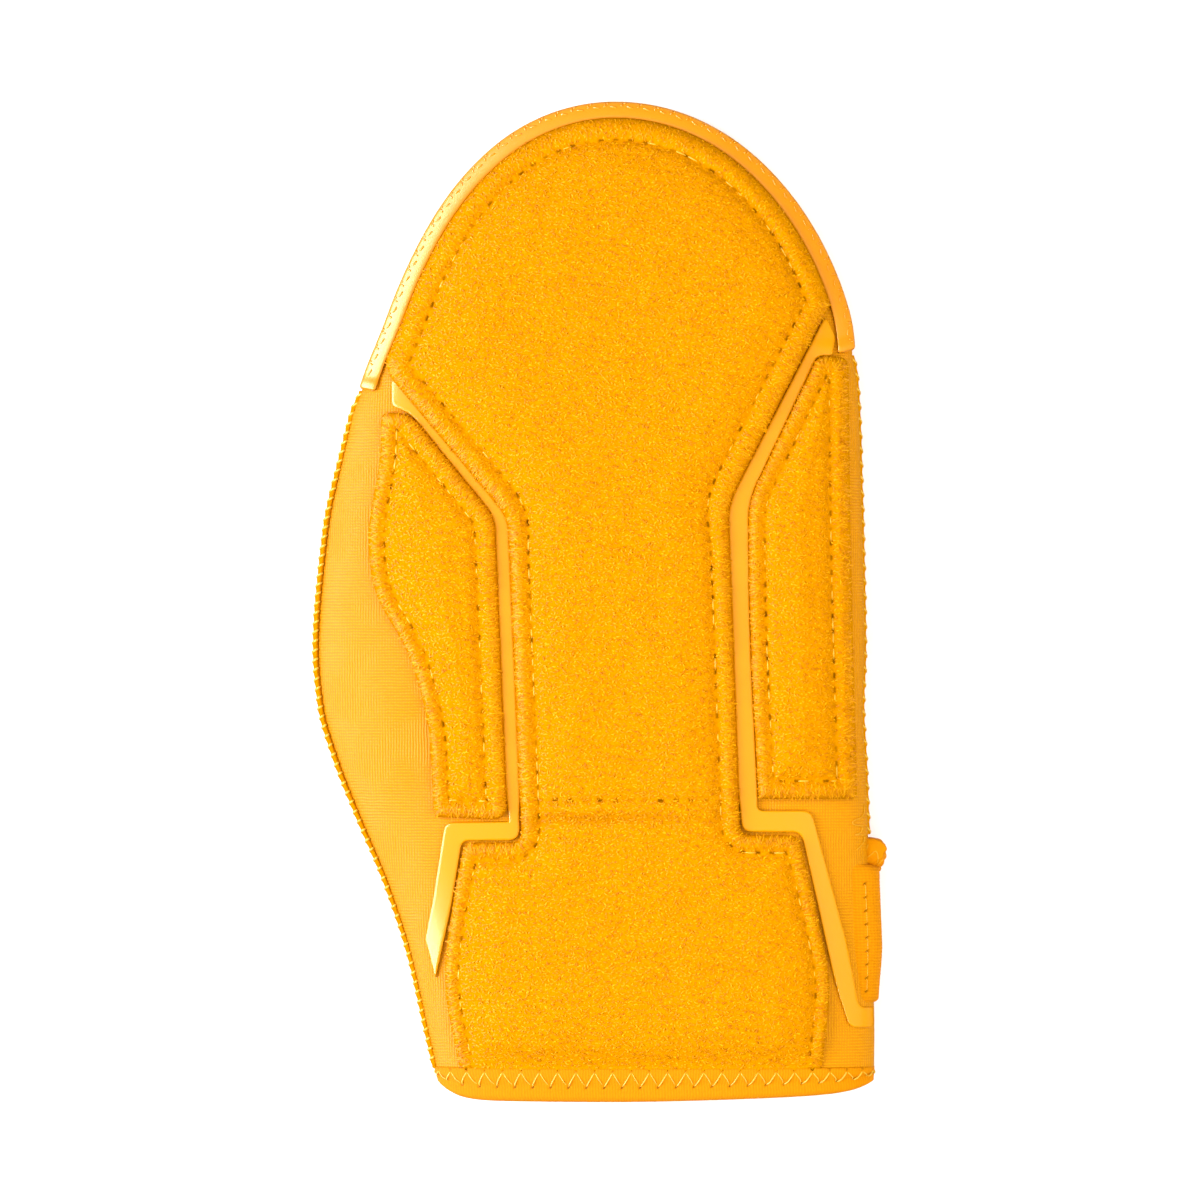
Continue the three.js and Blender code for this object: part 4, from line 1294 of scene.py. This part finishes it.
def hem_zigzag():
    """Zigzag thread over the binding, all the way round: each hole to the next top, and back down."""
    turns = hem_turns()
    share = np.linspace(0, 1, ZIGZAG_LEG_STEPS)
    bow = ZIGZAG_BOW * np.sin(np.pi * np.linspace(*ZIGZAG_BOW_SPAN, ZIGZAG_LEG_STEPS))
    half = ZIGZAG_STEPS // 2
    legs = []
    for to_hole, radius, sinks_at in ZIGZAG_LEGS:
        top = turns[half::ZIGZAG_STEPS]
        hole = turns[half + to_hole :: ZIGZAG_STEPS][: len(top)]
        turn = top[:, None] + (hole - top)[:, None] * share
        drop = ZIGZAG_HOLE_Y - ZIGZAG_TOP_Y + ZIGZAG_RISE_SHARE * hem_rise(turn)
        y = ZIGZAG_TOP_Y + drop * share
        draw = HEM_CORNER_DRAW * hem_corner(turn) ** HEM_CORNER_CROWDING
        lift = bow - ZIGZAG_SINK * smooth(share, sinks_at, 1) - draw
        legs.append(tubes(skin(turn, y, HEM_PROUD + lift), radius))
    return joined(legs)


hem = wrist_hem()
make_piece("hem_stitches", *hem_zigzag(), THREAD, "binding", closed=False)


# Strap and its folded tab

STRAP_TURNS = (3.36, 1.606)
TAB_TURNS = (3.13, 2.82)
BAND_STEP = 0.6
BAND_BORDER = np.array([0.0, 0.12, 0.35])
BAND_BORDER_ROOM = 0.6
BAND_MOST_STEPS = 120
BAND_END_ROUND = 2.0
BAND_SOFT = 1.3
BAND_SOFTER = 2.2
BAND_SOFTER_RUN = (4.0, 12.0)
BAND_INNER = 0.1
BAND_LEAST = 0.15
CRUMPLE_SCALE = 9
STRAP_SEAM_X = 73.6
STRAP_STITCH = 3.76
STRAP_STITCH_STEPS = 6
STRAP_SEAM_SPAN = (-109.3, -77.0)
STRAP_SINK = 0.35
STRAP_TUCK = 2.2
STRAP_TAPER = 8.0
STRAP_HOLE_DEPTH = 0.6
STRAP_HOLE_SHADE = 0.85
STRAP_HOLE_SLACK = 0.01
STRAP_HOLE_ROOM = 0.1
STRAP_STITCH_LIFT = (-0.2, 0.12)
STRAP_STITCH_RADIUS = 0.14
TAB_OVERLAP = 1.4
TAB_TAPER = 1.5
TAB_CRUMPLE = 0.35
TAB_SLANT = 3.6
TAB_SLANT_RUN = 5.0
DROP_FROM = 100.0
EDGE_TURNS = (3.5, 3.0)
EDGE_SAMPLES = 200
LOOSE_THREAD_STEP = 0.4
LOOSE_THREAD_RADIUS = 0.17
BARTACK_LIFT = 0.1

# Thickness across a band: its share at the lower border, how much is added above it, and between which places
STRAP_SWELL = (0.4, 0.75, (-0.05, 0.45))
TAB_SWELL = (0.62, 0.42, (0.0, 0.6))

# Corners of two loose threads in the front view
TAB_THREAD = (
    (75.0, -68.2), (74.3, -70.6), (74.0, -72.4), (75.6, -71.4), (77.2, -69.8), (77.9, -71.6), (77.5, -74.4),
    (79.2, -72.5),
)
BARTACK = (
    (73.9, -57.2), (73.7, -60.6), (70.4, -61.6), (70.5, -62.8), (73.3, -62.9), (73.1, -65.0), (70.5, -65.7),
    (73.6, -65.4), (74.0, -67.5), (71.6, -69.8),
)


def band_levels(y_span):
    """Places across a band: close together at its borders, and a whole number to each stitch between."""
    low, high = y_span
    step = STRAP_STITCH / STRAP_STITCH_STEPS
    middle = STRAP_SEAM_SPAN[0] + step * np.arange(-BAND_MOST_STEPS, BAND_MOST_STEPS)
    middle = middle[(middle > low + BAND_BORDER_ROOM) & (middle < high - BAND_BORDER_ROOM)]
    return np.concatenate([low + BAND_BORDER, middle, high - BAND_BORDER[::-1]])


def at_strap_hole(y):
    low, high = STRAP_SEAM_SPAN
    near = np.abs((y - low) / STRAP_STITCH % 1 - 0.5) > 0.5 - STRAP_HOLE_SLACK
    return near & (y > low - STRAP_HOLE_ROOM) & (y < high)


def edge_band(name, node, turns, y_span, thickness, swell, taper, material, slot, crumple=0.0, slant=0.0):
    """Band wrapped round the outer edge, its points at the strap's seam, and its search tree. Its outer face
    has rounded borders and comes out of the knit at its front end. slant lifts its lower border there."""
    along = even_turns(*turns, np.mean(y_span), CLEARANCE, BAND_STEP)
    run = np.arange(len(along)) * BAND_STEP
    y = band_levels(y_span)
    share = (y - y_span[0]) / (y_span[1] - y_span[0])
    end = smooth(run, 0, taper) * rounded_off((run[-1] - run) / BAND_END_ROUND)
    soft_border = BAND_SOFT + BAND_SOFTER * (1 - smooth(run, *BAND_SOFTER_RUN))[:, None]
    rounding = rounded_off(np.minimum(y - y_span[0], y_span[1] - y) / soft_border)
    low, gain, gain_span = swell
    full = CLEARANCE + STRAP_SINK + thickness * (low + gain * smooth(share, *gain_span))[None]
    full = full + crumple * unevenness(CRUMPLE_SCALE * run[:, None], CRUMPLE_SCALE * y[None])
    grow = full * rounding * end[:, None] - STRAP_SINK
    x = skin(along, np.mean(y_span), CLEARANCE)[:, 0]
    column = int(np.abs(x[: x.argmax() + 1] - STRAP_SEAM_X).argmin())
    hole = np.zeros(grow.shape)
    hole[column] = at_strap_hole(y)
    y_at = y[None] + slant * (1 - share)[None] * (1 - smooth(run, 0, TAB_SLANT_RUN))[:, None]
    outer = skin(along[:, None], y_at, grow - STRAP_HOLE_DEPTH * hole)
    inner = skin(along[:, None], y_at, np.minimum(BAND_INNER, grow - BAND_LEAST))
    ring = np.concatenate([outer, inner[:, ::-1]], axis=1)
    rows, columns = ring.shape[:2]
    faces = capped_faces(rows, columns)
    fabric_y = np.concatenate([y, y[::-1]])[None]
    fabric = np.stack(np.broadcast_arrays(run[:, None], fabric_y), -1).reshape(-1, 2)
    # Painted shade in the needle holes of the strap's seam
    values = {"shade": np.concatenate([STRAP_HOLE_SHADE * hole, np.zeros(hole.shape)], axis=1)}
    points = ring.reshape(-1, 3)
    piece = make_piece(name, points, faces, material, slot, node, values, fabric)
    return piece, outer[column], BVHTree.FromPolygons(points.tolist(), faces)


def on_outer_edge(spots, grow):
    """Points on the front of the outer edge, from their places in the front view."""
    turns = np.linspace(*EDGE_TURNS, EDGE_SAMPLES)
    points = []
    for x, y in spots:
        edge = skin(turns, y, grow)
        points.append([np.interp(x, edge[:, 0], edge[:, k]) for k in range(3)])
    return np.array(points)


def loose_thread(corners):
    """Open line through corners, with its turns rounded, evenly spaced."""
    line = np.array(corners, float)
    for _ in range(CORNER_CUTS):
        line = np.concatenate([line[:1], quarter_points(line[:-1], line[1:]), line[-1:]])
    return resample(line, LOOSE_THREAD_STEP, closed=False)


def dropped(tree, spots):
    """Points on the top of a mesh, straight below places in the front view."""
    hits = [tree.ray_cast((x, y, DROP_FROM), (0, 0, -1))[0] for x, y in spots.tolist()]
    return np.array([hit for hit in hits if hit is not None])


def strap_threads(seam, tab_tree):
    """Thread along the strap's seam, over the folded tab, and in the bar of stitches above it."""
    holes = np.flatnonzero(at_strap_hole(seam[:, 1]))
    stitches = []
    for first, last in zip(holes, holes[1:]):
        stitches.append(seam[first : last + 1] + (0, 0, random.uniform(*STRAP_STITCH_LIFT)))
    tab_path = dropped(tab_tree, loose_thread(TAB_THREAD))
    bar_path = on_outer_edge(loose_thread(BARTACK), BARTACK_LIFT)
    loose = [tubes(path[None], LOOSE_THREAD_RADIUS) for path in (tab_path, bar_path)]
    return joined([tubes(np.array(stitches), STRAP_STITCH_RADIUS), *loose])


strap, strap_seam, _ = edge_band(
    "strap_elastic", "wrist_strap", STRAP_TURNS, (STRAP_SPAN[0], STRAP_SPAN[1] + STRAP_TUCK),
    STRAP_THICKNESS, STRAP_SWELL, STRAP_TAPER, ELASTIC, "elastic",
)
tab, _, tab_tree = edge_band(
    "tab_fold", "strap_tab", TAB_TURNS, (TAB_SPAN[0] - TAB_OVERLAP, TAB_SPAN[1]),
    TAB_THICKNESS, TAB_SWELL, TAB_TAPER, BINDING, "binding", TAB_CRUMPLE, TAB_SLANT,
)
make_piece("strap_stitches", *strap_threads(strap_seam, tab_tree), STRAP_THREAD, "elastic", closed=False)


# Edge seams

SEAM_HALF_WIDTH = 0.95
SEAM_HALF_HEIGHT = 3.6
SEAM_RISE = 1.8
SEAM_TUCK = 0.35
SEAM_SIDES = 20
SEAM_STEP = 0.8
SEAM_RIPPLE = 0.12
SEAM_SHADE = 0.12
SEAM_THREAD_ARC = (130, -40)
SEAM_THREAD_STEPS = 13
SEAM_THREAD_RADIUS = 0.3
SEAM_THREAD_MARGINS = (1.5, 1.0)
SEAM_THREAD_SHIFT = 0.3
SEAM_THREAD_SLANT = 0.3
SEAM_THREAD_PROUD = (0.03, 0.08)

# Side, first and last height, and distance between threads
SEAM_RUNS = (("thumb", 58.6, -131.0, 2.65), ("outer", 68.6, -65.5, 4.1))


def seam_edge(side, y):
    """Place and height of the seam on one side of the sleeve, and that side's sign."""
    sign = -1 if side == "thumb" else 1
    lean = np.sqrt(1 - (np.maximum(0, y - ARCH_Y) / SLEEVE_REACH) ** 2)
    return SPINE_X + sign * (lean * sleeve_half(sign, y) - SEAM_TUCK), seam_of(y), sign


def edge_seams():
    """Folded seam along each open edge, wrapped over the edge, with slanted threads across it."""
    ridges, threads = [], []
    ring = np.linspace(0, 2 * np.pi, SEAM_SIDES, endpoint=False)
    across = np.radians(np.linspace(*SEAM_THREAD_ARC, SEAM_THREAD_STEPS))
    wide = SEAM_HALF_WIDTH + SEAM_THREAD_PROUD[0]
    high = SEAM_HALF_HEIGHT + SEAM_THREAD_PROUD[1]
    for side, start, end, pitch in SEAM_RUNS:
        y = np.linspace(start, end, round(abs(end - start) / SEAM_STEP))[:, None]
        x, z, sign = seam_edge(side, y)
        width = SEAM_HALF_WIDTH * (1 + SEAM_RIPPLE * np.sin(2 * np.pi * y / pitch))
        points = np.broadcast_arrays(
            x + sign * width * np.cos(ring), y, z + SEAM_RISE + SEAM_HALF_HEIGHT * np.sin(ring))
        ridges.append((np.stack(points, -1).reshape(-1, 3), capped_faces(len(y), SEAM_SIDES)))
        at = np.arange(start - SEAM_THREAD_MARGINS[0], end + SEAM_THREAD_MARGINS[1], -pitch)
        at = at + random.uniform(-SEAM_THREAD_SHIFT, SEAM_THREAD_SHIFT, 1)
        y = at[:, None] + SEAM_THREAD_SLANT * pitch * np.linspace(1, -1, SEAM_THREAD_STEPS)
        x, z, sign = seam_edge(side, y)
        paths = [x + sign * wide * np.cos(across), y, z + SEAM_RISE + high * np.sin(across)]
        threads.append(tubes(np.stack(paths, -1), SEAM_THREAD_RADIUS))
    return joined(ridges), joined(threads)


ridges, seam_threads = edge_seams()
# The whole ridge is painted a little darker: painted shade under and between its threads
seam_shade = {"shade": np.full(len(ridges[0]), SEAM_SHADE)}
make_piece("edge_seams", *ridges, TERRY, "knit", values=seam_shade, closed=False)
make_piece("edge_seam_stitches", *seam_threads, THREAD, "knit", closed=False)


# Floor, light and camera

FLOOR_SIZE = 60.0
CAMERA_HEIGHT = 2.4
FRAME_WIDTH = 0.336
FRAME_PLANE = 0.02
WORLD_STRENGTH = 0.3


def floor():
    made = Finish("floor", roughness=0.9, specular=0.1)
    made.colour(made.noise(size=400.0), (0.9, 0.9, 0.9, 1.0), (0.93, 0.93, 0.93, 1.0))
    mesh = bpy.data.meshes.new("floor")
    half = FLOOR_SIZE / 2
    corners = [(-half, -half, 0), (half, -half, 0), (half, half, 0), (-half, half, 0)]
    mesh.from_pydata(corners, [], [(0, 1, 2, 3)])
    mesh.materials.append(made.material)
    plane = bpy.data.objects.new("floor", mesh)
    plane.visible_glossy = False
    bpy.context.scene.collection.objects.link(plane)


def softbox(name, place, size, power, gloss=False):
    """Area light at a place, facing the mitt, that gives either its gloss or all the rest of its light."""
    data = bpy.data.lights.new(name, "AREA")
    data.shape = "RECTANGLE"
    data.size, data.size_y = size
    data.energy = power
    light = bpy.data.objects.new(name, data)
    light.visible_glossy = gloss
    light.visible_diffuse = not gloss
    light.location = place
    light.rotation_euler = (-Vector(place)).to_track_quat("-Z", "Y").to_euler()
    bpy.context.scene.collection.objects.link(light)


def studio():
    scene = bpy.context.scene
    scene.view_settings.view_transform = "Standard"
    world = bpy.data.worlds.new("studio")
    world.use_nodes = True
    background = world.node_tree.nodes["Background"]
    background.inputs["Color"].default_value = (1.0, 1.0, 1.0, 1.0)
    background.inputs["Strength"].default_value = WORLD_STRENGTH
    world.cycles_visibility.glossy = False
    scene.world = world
    softbox("sky", place=(0.0, 0.0, 2.6), size=(3.0, 3.0), power=70.0)
    softbox("key", place=(-1.05, 0.0, 0.85), size=(0.9, 0.9), power=29.0)
    softbox("fill", place=(1.0, -0.2, 0.9), size=(1.2, 1.2), power=15.0)
    softbox("gloss", place=(-1.2, 0.0, 0.56), size=(2.4, 1.25), power=200.0, gloss=True)


def camera():
    data = bpy.data.cameras.new("camera")
    data.sensor_width = 36.0
    data.lens = data.sensor_width * (CAMERA_HEIGHT - FRAME_PLANE) / FRAME_WIDTH
    made = bpy.data.objects.new("camera", data)
    made.location = (0.0, 0.0, CAMERA_HEIGHT)
    bpy.context.scene.collection.objects.link(made)
    bpy.context.scene.camera = made


floor()
studio()
camera()
